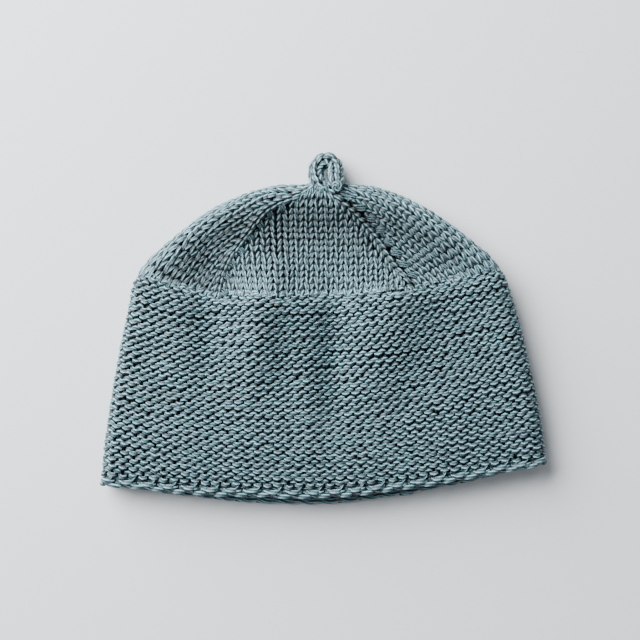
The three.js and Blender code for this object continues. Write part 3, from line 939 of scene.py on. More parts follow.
@dataclass(frozen=True)
class CottonYarn:
    """Spun cotton, dyed a greyed teal: light strands with a faint lustre, and painted shade in the grooves
    between.

    The real fibres are too fine to show, so they are drawn as streaks about 0.4 mm wide.
    """

    name: str
    groove_shade: str = "33454b"  # between the strands: the dye darkened with painted shade
    strand: str = "96cddb"  # on the strands
    deep_shade: float = 0.06  # how dark the painted shade makes the yarn where it lies deep in the fabric
    deep_shade_range: tuple[float, float] = (0.05, 0.52)  # of the painted shade value over which it grows dark
    flank_shade: float = 0.13  # how dark the painted shade makes it on its flanks, where the next stitch lies against it
    flank_shade_range: tuple[float, float] = (0.2, 0.97)  # of facing over which the painted shade fades
    fibre: float = math.pi * Yarn.radius / Yarn.sides  # width of a streak, half a strand's slope, mm
    fibre_length: float = 2.4  # and its length, mm
    grain: float = 2.0  # how much finer the mottling in a streak is
    contrast: float = 0.75  # how strongly the streaks show
    tone_share: float = 0.10  # how strongly the tone shows
    sharpness: float = 2.0  # how narrow the light part of a strand is
    relief: float = 0.25  # height of a streak, mm
    roughness: float = 0.45
    lustre: float = 0.45

    def material(self) -> bpy.types.Material:
        """The finish as a material."""
        made = bpy.data.materials.new(self.name)
        made.use_nodes = True
        tree = made.node_tree
        tree.nodes.clear()
        ply, along, tone, painted_shade, facing = (
            add_node(tree, "ShaderNodeAttribute", attribute_name=name).outputs["Fac"]
            for name in ("ply", "along", "tone", "painted_shade", "facing"))
        turn = add_node(tree, "ShaderNodeMath", {0: ply, 1: math.pi}, operation="MULTIPLY")
        wave = add_node(tree, "ShaderNodeMath", {0: turn.outputs[0]}, operation="COSINE")
        strand = add_node(
            tree, "ShaderNodeMath", {0: wave.outputs[0], 1: 0.5, 2: 0.5}, operation="MULTIPLY_ADD")
        slope = 2 * math.pi * Yarn.radius / Yarn.sides
        across = add_node(tree, "ShaderNodeMath", {0: ply, 1: slope / self.fibre}, operation="MULTIPLY")
        length = add_node(tree, "ShaderNodeMath", {0: along, 1: 1 / self.fibre_length}, operation="MULTIPLY")
        place = add_node(
            tree, "ShaderNodeCombineXYZ", {"X": across.outputs[0], "Y": length.outputs[0], "Z": tone})
        fibres = add_node(
            tree, "ShaderNodeTexNoise",
            {"Vector": place.outputs["Vector"], "Scale": self.grain, "Detail": 3.0, "Roughness": 0.65})
        rough = add_node(
            tree, "ShaderNodeMath",
            {0: fibres.outputs["Fac"], 1: 2 * self.contrast, 2: -self.contrast}, operation="MULTIPLY_ADD")
        relief = add_node(
            tree, "ShaderNodeMath", {0: strand.outputs[0], 1: rough.outputs[0]}, operation="ADD")
        toned = add_node(
            tree, "ShaderNodeMath",
            {0: tone, 1: self.tone_share, 2: relief.outputs[0]}, operation="MULTIPLY_ADD", use_clamp=True)
        sharp = add_node(tree, "ShaderNodeMath", {0: toned.outputs[0], 1: self.sharpness}, operation="POWER")
        colour = add_node(
            tree, "ShaderNodeMix",
            {0: sharp.outputs[0], 6: linear(self.groove_shade), 7: linear(self.strand)}, data_type="RGBA")
        # Painted shade: darker where the yarn lies deep in the fabric, and on its flanks where the next
        # stitch lies against it.
        shades = [
            add_node(
                tree, "ShaderNodeMapRange",
                {"Value": value, "From Min": start, "From Max": stop, "To Min": first, "To Max": last})
            for value, (start, stop), first, last in (
                (painted_shade, self.deep_shade_range, 1.0, self.deep_shade), (facing, self.flank_shade_range, self.flank_shade, 1.0))]
        both = add_node(
            tree, "ShaderNodeMath",
            {0: shades[0].outputs["Result"], 1: shades[1].outputs["Result"]}, operation="MULTIPLY")
        dark = add_node(
            tree, "ShaderNodeVectorMath", {0: colour.outputs[2], "Scale": both.outputs[0]}, operation="SCALE")
        bump = add_node(
            tree, "ShaderNodeBump",
            {"Height": relief.outputs[0], "Strength": 1.0, "Distance": self.relief * MM})
        shader = add_node(
            tree, "ShaderNodeBsdfPrincipled",
            {
                "Base Color": dark.outputs[0],
                "Roughness": self.roughness,
                "Specular IOR Level": self.lustre,
                "Normal": bump.outputs["Normal"],
            })
        add_node(tree, "ShaderNodeOutputMaterial", {"Surface": shader.outputs["BSDF"]})
        return made


@dataclass(frozen=True)
class FloorPaint:
    """Matte paint rolled on board: an even, pale grey that doesn't shine."""

    name: str
    colour: str = "cfd3d7"
    roughness: float = 0.8

    def material(self) -> bpy.types.Material:
        """The finish as a material."""
        made = bpy.data.materials.new(self.name)
        made.use_nodes = True
        tree = made.node_tree
        tree.nodes.clear()
        shader = add_node(
            tree, "ShaderNodeBsdfPrincipled",
            {"Base Color": linear(self.colour), "Roughness": self.roughness})
        add_node(tree, "ShaderNodeOutputMaterial", {"Surface": shader.outputs["BSDF"]})
        return made


# ------------------------------------------------------------------ the body
@dataclass
class Body:
    """The straight band from the brim to the welt, purl side out."""

    form: HatForm
    columns: int = 88
    rows: int = 26
    shape: StitchShape = StitchShape(
        Face.PURL, swing=0.15, spread=0.035, half_height=0.77, flatness=0.05, plunge=1.5, head_rise=0.14,
        swell=0.12)
    thickness: float = 1.05  # of the yarn, plumped up in the purl rows
    tip: float = 0.062  # how far a stitch rises to the right, in rows
    tip_change: float = 0.02  # how much more it does at the left fold, and less at the right one
    tip_rows: tuple[int, int] = (1, 15)  # rows over which it starts to, above the brim
    pull: float = 1.04  # factor by which the chain draws the lowest row's stitches taller
    pull_change: float = 0.14  # how much more that is for every other one, and less for the rest
    behind: float = -0.4  # depth of the row that turns under the brim, mm
    welt: StitchShape = StitchShape(
        Face.PURL, swing=0.12, half_height=0.5, depth=0.45, plunge=1.5, head_rise=0.1, unevenness=2.2)
    rows_per_piece: int = 10
    seed: int = 11

    def patch(self) -> Patch:
        """Rows from the brim's edge to the welt, columns all the way round."""
        rows = np.arange(-3, self.rows + 2)
        columns = np.arange(-2, self.columns + 4)
        even = self.form.edge_level + rows * ((1 - self.form.edge_level) / self.rows)
        ladder = np.linspace(even[0], even[-1], 400)
        _, height, _ = self.form.plan(ladder, np.zeros(ladder.shape), Layer.FRONT)
        brim, welt = np.interp([even[3], even[-2]], ladder, height)
        middle = np.interp(rows, (height - brim) / (welt - brim) * self.rows, ladder)
        levels, places = np.meshgrid((even + middle) / 2, columns / self.columns, indexing="ij")
        return Patch(self.form, columns, rows, levels, places, on_crown=False)

    def tipping(self, row: int) -> Callable[[np.ndarray], np.ndarray]:
        """How far the yarn's twist tips each stitch of a row, which it does less towards the brim."""
        share = smoothstep(*self.tip_rows, row)
        return lambda column: share * (
            self.tip + self.tip_change * np.cos(2 * np.pi * column / self.columns))

    def every_other(self, column: np.ndarray) -> np.ndarray:
        """How the chain draws out the lowest stitches in pairs."""
        return self.pull + self.pull_change * np.cos(np.pi * (column - 0.5))

    def build(self, spinner: Spinner, finish: bpy.types.Material) -> None:
        """Knits the body in three pieces.

        Args:
            spinner: Makes the pieces.
            finish: Their material.
        """
        patch, knitter = self.patch(), Knitter(self.seed)
        runs = [
            knitter.row(
                patch, row + 0.5, 0, self.columns, self.shape, closed=True,
                pull=self.every_other if row == 0 else None, lean=self.tipping(row))
            for row in range(self.rows)
        ]
        runs.append(knitter.row(patch, self.rows + 0.1, 0, self.columns, self.welt, closed=True))
        behind = replace(patch, lift=self.behind)
        runs.insert(0, knitter.row(behind, -0.5, 0, self.columns, self.shape, closed=True))
        cuts = (0, self.rows_per_piece, 2 * self.rows_per_piece, len(runs))
        for part, first, last in zip(("lower", "middle", "upper"), cuts, cuts[1:]):
            spinner.piece(f"body_{part}_rows", runs[first:last], finish, "body_knit", "body", self.thickness)


# ------------------------------------------------------------------ the crown
class SideWedge(NamedTuple):
    """How the rows of a side wedge leave its front rib."""

    row_pitch: float  # along the rib, mm
    column_pitch: float  # mm
    low_slope: float  # degrees by which the rows rise towards the fold, at the welt
    high_slope: float  # and at the apex
    turning: float  # how much of the turn comes early


SIDE_WEDGES = {
    Side.LEFT: SideWedge(3.1, 4.1, 33.0, 90.0, 1.5),
    Side.RIGHT: SideWedge(2.75, 3.9, 28.0, 84.0, 1.0),
}


class Rib(NamedTuple):
    """A raised wale between the front wedge and a side wedge, and the bars beside it."""

    offset: float  # from the rib line to the wale's middle, to its right, mm
    width: float  # of the wale, mm
    shape: StitchShape
    bar_offset: float  # from the rib line to the middle of a bar, mm
    first: float  # where the first bar lies along the line, mm
    pitch: float  # from bar to bar, mm
    close_from: float  # share of the line from which the bars lie close together, over 1 for nowhere
    close_pitch: float
    length: float  # of a bar, mm
    leans: tuple[float, float, float, float]  # directions of the bars from the welt to the apex, degrees


RIB_STITCH = StitchShape(
    Face.KNIT, swing=0.15, spread=0.0, half_height=0.68, depth=0.75, plunge=1.3, head_rise=0.3, swell=0.2)

RIBS = {
    Side.LEFT: Rib(0.0, 3.5, RIB_STITCH, 2.5, 1.5, 7.0, 0.76, 2.5, 5.6, (-36, -46, -60, -84)),
    Side.RIGHT: Rib(
        -1.9, 4.1, replace(RIB_STITCH, swing=0.22), 2.7, 4.0, 6.28, 2.0, 6.28, 6.8, (-16, -9, -2, 2)),
}

GATHERS = (  # the long stitches at the apex: direction in degrees, and from where to where they reach, mm
    (222, 1.0, 6.5), (240, 0.5, 5.5), (258, 0.8, 6.0), (276, 0.8, 6.4), (296, 0.8, 6.6), (318, 1.2, 8.0),
)


def to_right(direction: np.ndarray) -> np.ndarray:
    """Directions seen from above, turned a quarter to the right."""
    return np.stack([direction[..., 1], -direction[..., 0]], axis=-1)


@dataclass
class RibLine:
    """A line between two wedges, seen from above, from the welt to the apex."""

    form: HatForm
    side: Side
    layer: Layer

    def __post_init__(self) -> None:
        """Lays out the line."""
        levels = np.linspace(1.0, 1.97, 98)
        x, y, _ = self.form.plan(levels, self.form.rib_w(levels, self.side, self.layer), self.layer)
        self.points = np.stack([x, y], axis=1)
        self.reach = arc_length(self.points)
        self.length = self.reach[-1]

    def place(self, distance: np.ndarray) -> tuple[np.ndarray, np.ndarray]:
        """Places along the line, which is carried on straight below the welt.

        Args:
            distance: Distances from the welt, in mm.

        Returns:
            Points, and the directions of the line there.
        """
        start = unit(self.points[3] - self.points[0])
        points = along_line(self.points, self.reach, distance) + np.minimum(distance, 0)[:, None] * start
        ahead, behind = (along_line(self.points, self.reach, distance + shift) for shift in (0.5, -0.5))
        return points, unit(ahead - behind + 1e-9 * start)


@dataclass(frozen=True)
class CrownShade:
    """How the crown lies in shade inside its rim. Each pair of numbers is a stretch over which it sets in."""

    whole: float = 0.1
    rim: tuple[float, float] = (1.0, 11.0)  # distance from the side folds, mm
    height: tuple[float, float] = (5.0, 8.0)  # over the floor, mm
    upper: float = 0.23  # how much more its upper part does
    upper_y: tuple[float, float] = (22.0, 46.0)
    left: float = 0.19  # and the left wedge
    left_x: tuple[float, float] = (-32.0, -44.0)
    left_y: tuple[float, float] = (12.0, 20.0)
    right: float = 0.09  # and the lower part of the right wedge
    right_x: tuple[float, float] = (20.0, 34.0)
    right_y: tuple[float, float] = (38.0, 28.0)

    def on(self, runs: list[Run], form: HatForm) -> list[Run]:
        """Adds painted shade to lengths of yarn where they lie in shade.

        Args:
            runs: The lengths of yarn.
            form: The hat's form.

        Returns:
            The same runs.
        """
        for run in runs:
            x, y, z = run.points.T
            inside = smoothstep(*self.rim, form.fold_distance(x, y)) * smoothstep(*self.height, z)
            upper = self.upper * smoothstep(*self.upper_y, y)
            left = self.left * smoothstep(*self.left_x, x) * smoothstep(*self.left_y, y)
            right = self.right * smoothstep(*self.right_x, x) * smoothstep(*self.right_y, y)
            run.painted_shade = run.painted_shade + inside * (self.whole + right + np.maximum(upper, left))
        return runs


@dataclass
class Crown:
    """Four wedges, knit side out, and the raised wales between them."""

    form: HatForm
    row_pitch: float = 2.8  # rows of the front and back wedges, seen from above
    column_pitch: float = 4.36
    narrow_pitch: float = 3.35  # the front wedge's columns are drawn together at its left end
    narrow_columns: float = 8.0
    lean: float = 0.30  # slope of those columns
    rib_pitch: float = 3.14
    rib_lift: float = 0.55  # how far the raised wales stand proud, mm
    drift: float = 0.28  # columns that a side wedge loses to the rib in each row
    ray: tuple[float, float] = (80.0, 0.4)  # how far a side wedge's row is followed, and by which step, mm
    over_fold: int = 7  # steps by which it is carried on over the side fold
    welt_level: float = 0.985  # where the wedges' rows are cut off
    shape: StitchShape = StitchShape(
        Face.KNIT, swing=0.21, spread=0.0, half_height=0.86, depth=0.8, plunge=1.7, head_rise=0.3, swell=0.17)
    flat_columns: tuple[int, int] = (-8, 32)  # columns that the front and back wedges' tables reach over
    side_columns: tuple[int, int] = (-8, 34)  # and those of the side wedges
    flat_start: float = 0.5  # the first row over the welt
    side_start: float = -6.5  # and of the side wedges, which starts below it at the rib
    margin: float = 1.5  # rows of a side wedge's or a rib's table before its first row
    front_trim: tuple[float, float] = (0.35, 0.95)  # columns left out beside the ribs
    side_trim: tuple[float, float] = (0.4, 0.0)
    shortest: float = 0.7  # columns of the shortest row
    shade: CrownShade = CrownShade()
    seed: int = 23

    def flat_rows(self) -> tuple[np.ndarray, np.ndarray]:
        """Rows of the front and back wedges at fine steps, and their levels."""
        levels = np.linspace(0.97, 1.97, 201)
        _, y, _ = self.form.plan(levels, np.zeros(levels.shape), Layer.FRONT)
        _, base, _ = self.form.plan(np.array([1.0]), np.zeros(1), Layer.FRONT)
        reach = (y - base[0]) / self.row_pitch
        rows = np.arange(self.flat_start - 1, reach.max(), GRID_STEP)
        return rows, np.interp(rows, reach, levels)

    def front_x(self, column: np.ndarray, row: np.ndarray, base_x: float) -> np.ndarray:
        """The front wedge's columns, drawn together and leaning at the left end.

        Args:
            column: Columns.
            row: Rows.
            base_x: x of column 0 at the welt.

        Returns:
            x of each place.
        """
        narrow = np.minimum(column, self.narrow_columns)
        gain = (self.column_pitch - self.narrow_pitch) / self.narrow_columns
        x = base_x + self.column_pitch * column - (self.column_pitch - self.narrow_pitch) * narrow
        x += gain * narrow**2 / 2
        return x - self.lean * (1 - narrow / self.narrow_columns) * row * self.row_pitch

    def flat_patch(self, layer: Layer) -> tuple[Patch, Ends]:
        """The front or back wedge.

        Args:
            layer: Which of the two.

        Returns:
            The patch, and the ends of its rows at the ribs.
        """
        form = self.form
        rows, row_levels = self.flat_rows()
        columns = marks(*self.flat_columns)
        levels, _ = np.meshgrid(row_levels, columns, indexing="ij")
        row_grid, column_grid = np.meshgrid(rows, columns, indexing="ij")
        base_x = RibLine(form, Side.LEFT, layer).points[0, 0]
        if layer is Layer.FRONT:
            x = self.front_x(column_grid, row_grid, base_x)
        else:
            x = base_x + self.column_pitch * column_grid
        w = form.w_at(x, levels)
        places = form.s_of(levels, np.clip(w, -1, 1), layer)

        def ends(row: float) -> tuple[float, float]:
            """Columns where the row meets the ribs."""
            i = int(round((row - rows[0]) / GRID_STEP))
            ribs = [float(form.rib_w(row_levels[i], side, layer)) for side in Side]
            return tuple(np.interp(ribs, w[i], columns))

        return Patch(form, columns, rows, levels, places), ends

    def follow(self, side: Side, start: np.ndarray, angle: float) -> tuple[
            np.ndarray, np.ndarray, np.ndarray, np.ndarray]:
        """Follows a side wedge's row from its front rib over the side fold and back.

        Args:
            side: The left or right wedge.
            start: x and y where the row leaves the rib.
            angle: How steeply it rises towards the fold, in radians.

        Returns:
            For each of its points the level, s, whether it lies below the welt on the front layer, and
            whether it lies below the welt or past the rib on the back layer.
        """
        form = self.form
        reach = np.arange(0, *self.ray)
        level, w, inside = form.find(
            start[0] + side.value * reach * math.cos(angle), start[1] + reach * math.sin(angle))
        count = max(int(np.argmin(inside)) if not inside.all() else len(reach), 2)
        level, w = level[:count], w[:count]
        ease = 1 - (1 - np.linspace(0, 1, self.over_fold + 1)[1:]) ** 2
        level = np.concatenate([level, np.full(self.over_fold, level[-1])])
        w = np.concatenate([w, w[-1] + (side.value - w[-1]) * ease])
        s_front = form.s_of(level, w, Layer.FRONT)
        s_back = form.s_of(level, w, Layer.BACK)
        if side is Side.LEFT:
            s_back = s_back - 1
        on_back = np.arange(2 * len(level) - 1) >= len(level)
        level, s, w = (
            np.concatenate([front, back[::-1][1:]])
            for front, back in ((level, level), (s_front, s_back), (w, w)))
        below = level < self.welt_level
        past = (w * side.value <= form.back_rib) | below
        return level, s, below & ~on_back, past & on_back

    def side_patch(self, side: Side) -> tuple[Patch, Ends]:
        """A side wedge, from its front rib over the fold to its back rib.

        Args:
            side: The left or right wedge.

        Returns:
            The patch, and the ends of its rows at the ribs.
        """
        form = self.form
        wedge = SIDE_WEDGES[side]
        line = RibLine(form, side, Layer.FRONT)
        rows = np.arange(self.side_start - self.margin, line.length / wedge.row_pitch, GRID_STEP)
        columns = marks(*self.side_columns)
        levels = np.zeros((len(rows), len(columns)))
        places = np.zeros_like(levels)
        limits = np.zeros((len(rows), 2))
        starts, _ = line.place(rows * wedge.row_pitch)
        for i, row in enumerate(rows):
            turned = 1 - max(1 - row * wedge.row_pitch / line.length, 0) ** wedge.turning
            angle = math.radians(wedge.low_slope + (wedge.high_slope - wedge.low_slope) * turned)
            level, s, under, past = self.follow(side, starts[i], angle)
            points, _ = form.look_up(level, s)
            distance = arc_length(points) / wedge.column_pitch
            at = columns - self.drift * row
            levels[i] = np.interp(at, distance, level)
            places[i] = np.interp(at, distance, s)
            first = distance[np.argmin(under)] if under[0] else 0.0
            last = distance[np.argmax(past)] if past.any() else distance[-1]
            limits[i] = (first + self.drift * row, last + self.drift * row)

        def ends(row: float) -> tuple[float, float]:
            """Columns where the row leaves the front rib and meets the back rib."""
            return tuple(limits[int(round((row - rows[0]) / GRID_STEP))])

        return Patch(form, columns, rows, levels, places), ends

    def rib_patch(self, side: Side, layer: Layer) -> Patch:
        """A single raised wale that runs along the line between two wedges.

        Args:
            side: The left or the right line.
            layer: The layer that it lies on.

        Returns:
            The patch, in which the wale is column 0 to 1.
        """
        rib = RIBS[side]
        line = RibLine(self.form, side, layer)
        rows = np.arange(-self.margin, line.length / self.rib_pitch, GRID_STEP)
        columns = marks(-1, 2)
        points, ahead = line.place(rows * self.rib_pitch)
        offset = rib.offset + (columns - 0.5) * rib.width
        x, y = np.moveaxis(points[:, None] + offset[:, None] * to_right(ahead)[:, None], 2, 0)
        level, w, _ = self.form.find(x.ravel(), y.ravel())
        places = self.form.s_of(level, w, layer)
        return Patch(
            self.form, columns, rows, level.reshape(x.shape), places.reshape(x.shape), lift=self.rib_lift)

    def knit(self, knitter: Knitter, patch: Patch, ends: Ends, first: float,
             trim: tuple[float, float]) -> list[Run]:
        """The rows of a wedge.

        Args:
            knitter: Works the stitches.
            patch: The wedge.
            ends: The ends of its rows.
            first: The first row.
            trim: Columns left out at both ends.

        Returns:
            A run for each row that is long enough.
        """
        runs = []
        for row in np.arange(first, patch.rows[-1] - 0.5, 1.0):
            start, stop = ends(row)
            start, stop = start + trim[0], stop - trim[1]
            if stop - start > self.shortest:
                runs.append(knitter.row(patch, row, start, stop, self.shape))
        return runs

    def build(self, spinner: Spinner, finish: bpy.types.Material) -> None:
        """Knits the four wedges and the wales between them.

        Args:
            spinner: Makes the pieces.
            finish: Their material.
        """
        knitter = Knitter(self.seed)
        pieces = {}
        for layer in Layer:
            trim = self.front_trim if layer is Layer.FRONT else (0.0, 0.0)
            pieces[f"{layer.name.lower()}_wedge"] = self.knit(
                knitter, *self.flat_patch(layer), self.flat_start, trim)
        for side in Side:
            pieces[f"{side.name.lower()}_wedge"] = self.knit(
                knitter, *self.side_patch(side), self.side_start, self.side_trim)
        pieces["ribs"] = []
        for layer in Layer:
            for side in Side:
                patch = self.rib_patch(side, layer)
                for row in np.arange(0.0, patch.rows[-1] - 0.8, 1.0):
                    pieces["ribs"].append(knitter.row(patch, row, 0.0, 1.0, RIBS[side].shape))
        for name, runs in pieces.items():
            spinner.piece(f"crown_{name}", self.shade.on(runs, self.form), finish, "crown_knit", "crown")


@dataclass
class Decreases:
    """Strands that lie across where stitches were knitted together, beside the ribs and at the apex."""

    form: HatForm
    shade: CrownShade = CrownShade()
    dip: float = 0.6  # how deep a strand's ends lie in the fabric, mm
    end_width: float = 0.45  # and how thin they are, share of its middle
    end_shade: float = 0.55  # and how dark the painted shade makes them
    tone: tuple[float, float] = (0.3, 0.4)  # middle and spread of their tones, lighter than the knitting's to offset the painted shade on the flanks of these thin strands
    strands: tuple[int, int] = (3, 2)  # in a bar, and in one of those that lie close together
    strand_gap: float = 0.92  # from one to the next, mm
    bar_height: float = 1.8  # of its middle over the middle surface, mm
    bar_width: float = 0.45  # of its yarn, share of the usual thickness
    closing: float = 0.12  # share of the rib line over which the bars come close together
    close_shorter: float = 0.42  # how much shorter the close ones are
    close_nearer: float = 0.25  # and how much nearer to the rib
    bar_margin: float = 2.0  # left free before the apex, mm
    lean_marks: tuple[float, ...] = (0, 0.35, 0.7, 1.0)  # shares of the rib line where the leans hold
    gather_height: float = 1.9
    gather_width: float = 0.58
    gather_gap: float = 1.1  # between the two strands of a long stitch, mm
    gather_rise: float = 0.6  # from the apex to the middle of the fan, mm
    bar_seed: int = 40
    gather_seed: int = 51

    def strand(self, path: np.ndarray, height: float, width: float, tone: float) -> Run:
        """A strand that lies on the front layer and dips into it at both ends.

        Args:
            path: x and y of places along the strand.
            height: How far its middle stands out of the middle surface, mm.
            width: Share of the yarn's usual thickness.
            tone: From -1 dark to 1 light.

        Returns:
            The strand.
        """
        level, w, _ = self.form.find(*path)
        s = self.form.s_of(level, w, Layer.FRONT)
        u = np.linspace(-1, 1, len(s))
        arch = np.sqrt(np.maximum(1 - u**2, 0))
        points, outward = self.form.put(level, s, -self.dip + (height + self.dip) * arch)
        thinned = width * (self.end_width + (1 - self.end_width) * arch)
        # Painted shade at the ends, where the strand dips into the fabric.
        return Run(points, outward, False, np.full(len(s), tone), self.end_shade * u**4, thinned)

    def bars(self, side: Side) -> list[Run]:
        """The bars beside a rib, each of a few strands side by side.

        Args:
            side: The left or the right rib.

        Returns:
            The strands, from the welt to the apex.
        """
        rib = RIBS[side]
        random = np.random.default_rng(self.bar_seed + side.value)
        line = RibLine(self.form, side, Layer.FRONT)
        u = np.linspace(-1, 1, 11)
        runs = []
        distance = rib.first
        while distance < line.length - self.bar_margin:
            share = distance / line.length
            points, ahead = line.place(np.array([distance]))
            near = float(smoothstep(rib.close_from, rib.close_from + self.closing, share))
            length = rib.length * (1 - self.close_shorter * near) * (1 + random.normal(0, 0.05))
            lean = math.radians(np.interp(share, self.lean_marks, rib.leans) + random.normal(0, 2.5))
            middle = points[0] + to_right(ahead[0]) * rib.bar_offset * (1 - self.close_nearer * near)
            count = self.strands[near >= 0.5]
            along = np.array([math.cos(lean), math.sin(lean)])
            tone = random.normal(*self.tone)
            for k in range(count):
                shift = (k - (count - 1) / 2) * self.strand_gap
                bow = shift * (1.1 - 0.35 * u**2)
                stretch = length / 2 * (1 - 0.08 * abs(shift)) + random.normal(0, 0.1)
                path = middle[:, None] + along[:, None] * u * stretch - to_right(along)[:, None] * bow
                runs.append(self.strand(
                    path, self.bar_height, self.bar_width, tone + random.normal(0, 0.25)))
            distance += rib.pitch + (rib.close_pitch - rib.pitch) * near + random.normal(0, 0.15)
        return runs

    def gather(self) -> list[Run]:
        """Long stitches that fan out where the wedges are drawn together."""
        random = np.random.default_rng(self.gather_seed)
        centre = np.array([self.form.apex[0], self.form.apex[1] + self.gather_rise])
        runs = []
        for degrees, inner, outer in GATHERS:
            angle = math.radians(degrees)
            ahead = np.array([math.cos(angle), math.sin(angle)])
            reach = np.linspace(inner, outer, 13)
            for shift in (-self.gather_gap / 2, self.gather_gap / 2):
                spread = shift * (0.7 + 0.06 * reach) + random.normal(0, 0.06)
                path = centre[:, None] + ahead[:, None] * reach - to_right(ahead)[:, None] * spread
                runs.append(self.strand(
                    path, self.gather_height, self.gather_width, random.normal(*self.tone)))
        return runs

    def build(self, spinner: Spinner, finish: bpy.types.Material) -> None:
        """Lays the bars and the long stitches on the crown.

        Args:
            spinner: Makes the piece.
            finish: Its material.
        """
        runs = self.bars(Side.LEFT) + self.bars(Side.RIGHT) + self.gather()
        spinner.piece(
            "crown_decreases", self.shade.on(runs, self.form), finish, "crown_knit", "crown")


# ------------------------------------------------------------------ the brim's chain
@dataclass
class BrimChain:
    """The cast-off chain along the brim: a link to every two stitches, and its stems."""

    form: HatForm
    links: int = 44
    upper_reach: float = 2.85  # half the length of a link's upper strand, mm
    lower_reach: float = 2.95  # and of its lower strand
    drop: float = 2.3  # from the upper strand to the lower, mm
    offset: float = 0.35  # from level 0 to the upper strand at the side folds, mm
    slope: float = 0.12  # how much a link rises to the right on the front layer
    back_slope: float = 0.2  # share of it on the back layer
    dip: float = 0.75  # how much lower the chain lies in the middle, mm
    dip_shape: float = 0.7  # how soon it dips from the side folds
    fillings: tuple[tuple[float, float], ...] = ((1.7, -1.0), (0.0, -0.7), (-1.5, -0.5))  # height and depth
    upper_depth: tuple[float, float] = (-0.5, 1.5)  # of an upper strand's ends, and how far its middle rises
    lower_depth: tuple[float, float] = (-0.6, 1.2)  # and of a lower one's, mm
    upper_bow: float = -0.25  # how far the middle of an upper strand bends up, mm
    lower_bow: float = 0.3  # and of a lower one
    link_width: float = 1.22  # of the yarn in a link, share of its usual thickness
    lower_width: float = 0.97  # of its lower strand, share of that
    stem_start: float = 0.62  # share of the upper strand's reach at which a stem starts
    stem_rise: float = 3.6  # mm
    stem_run: float = 1.9  # mm to the right
    stem_width: float = 0.72
    unshaded_side: tuple[float, float, float] = (0.0, -0.6, 0.8)  # the way out that the back layer's chain's painted flank shade is taken from, so that its side that shows is painted unshaded
    points: int = 15  # of a link's strand
    stem_points: int = 9
    filling_points: int = 8  # to a link
    filling_wave: float = 0.35  # how far it waves up and down at each link, mm
    filling_shade: float = 0.22  # how dark the painted shade behind the links makes it on the front layer
    seed: int = 5

    def put(self, above: np.ndarray, places: np.ndarray, depth: np.ndarray) -> tuple[
            np.ndarray, np.ndarray, np.ndarray]:
        """Places on the brim.

        Args:
            above: Distances above level 0, mm.
            places: Shares of the way round.
            depth: Distances out of the middle surface, mm.

        Returns:
            Points, the way out that the painted flank shade is taken from, and 1 on the back layer or 0 on
            the front.
        """
        middle = np.abs(np.sin(2 * np.pi * places)) ** self.dip_shape
        level = (above - self.dip * middle) / BAND_HEIGHT
        points, outward = self.form.put(level, places, depth, on_crown=False)
        behind = np.clip(-3 * np.sin(2 * np.pi * places), 0, 1)
        return points, unit(outward + behind[:, None] * (np.array(self.unshaded_side) - outward)), behind

    def strand(self, s: float, along: np.ndarray, above: np.ndarray, depth: np.ndarray,
               tone: float, width: float) -> Run:
        """A length of yarn on the brim.

        Args:
            s: Where it lies round the brim.
            along: Distances from there along the brim, mm.
            above: Distances above level 0, mm.
            depth: Distances out of the middle surface, mm.
            tone: From -1 dark to 1 light.
            width: Share of the yarn's usual thickness.

        Returns:
            The length of yarn.
        """
        length = self.form.length_at(np.array([0.0]))[0]
        points, outward, _ = self.put(above, s + along / length, depth)
        end = np.linspace(-1, 1, len(along)) ** 4
        # Painted shade at both ends, where the yarn dips into the fabric.
        return Run(
            points, outward, False, np.full(len(along), tone), 0.5 * end, width * (1 - 0.6 * end))

    def filling(self, above: float, depth: float, random: np.random.Generator) -> Run:
        """Yarn that runs on all round the brim, behind the links.

        Args:
            above: How far above level 0 it lies, mm.
            depth: Its distance out of the middle surface, mm.
            random: The source of its unevenness.

        Returns:
            The closed run.
        """
        count = self.links * self.filling_points
        places = np.arange(count) / count
        wave = self.filling_wave * np.sin(2 * np.pi * self.links * places)
        points, outward, behind = self.put(above + wave, places, depth + 0.3 * wave)
        tone = np.repeat(random.normal(-0.1, 0.4, self.links), self.filling_points)
        # Painted shade behind the links, lighter on the back layer.
        return Run(points, outward, True, tone, self.filling_shade * (1 - 0.8 * behind), np.ones(count))

    def link(self, number: int, random: np.random.Generator) -> list[Run]:
        """One link and its stem.

        Args:
            number: Its number, counted from the left fold over the front layer.
            random: The source of its unevenness.

        Returns:
            The upper strand, the lower strand and the stem.
        """
        u = np.linspace(-1, 1, self.points)
        arch = np.sqrt(np.maximum(1 - u**2, 0))
        rise = np.linspace(0, 1, self.stem_points)
        s = (number + 0.5 + random.normal(0, 0.03)) / self.links
        facing = 1.0 if number < self.links / 2 else self.back_slope
        slope = (self.slope + random.normal(0, 0.04)) * facing
        height = self.offset + random.normal(0, 0.15)
        tone = random.normal(0.1, 0.4)
        reach = self.upper_reach * (1 + random.normal(0, 0.05)) * u
        upper = self.strand(
            s, reach, height + slope * reach + self.upper_bow * arch,
            self.upper_depth[0] + self.upper_depth[1] * arch, tone, self.link_width)
        low = height - self.drop + random.normal(0, 0.12)
        reach = self.lower_reach * (1 + random.normal(0, 0.05)) * u
        lower = self.strand(
            s + 0.5 / self.links, reach, low + slope * reach + self.lower_bow * arch,
            self.lower_depth[0] + self.lower_depth[1] * arch, tone + random.normal(0, 0.25),
            self.lower_width * self.link_width)
        stem = self.strand(
            s, self.stem_start * self.upper_reach + self.stem_run * rise,
            height + 0.2 + self.stem_rise * rise, 0.1 + 1.1 * np.sin(np.pi * rise) - 0.5 * rise,
            tone, self.stem_width)
        return [upper, lower, stem]

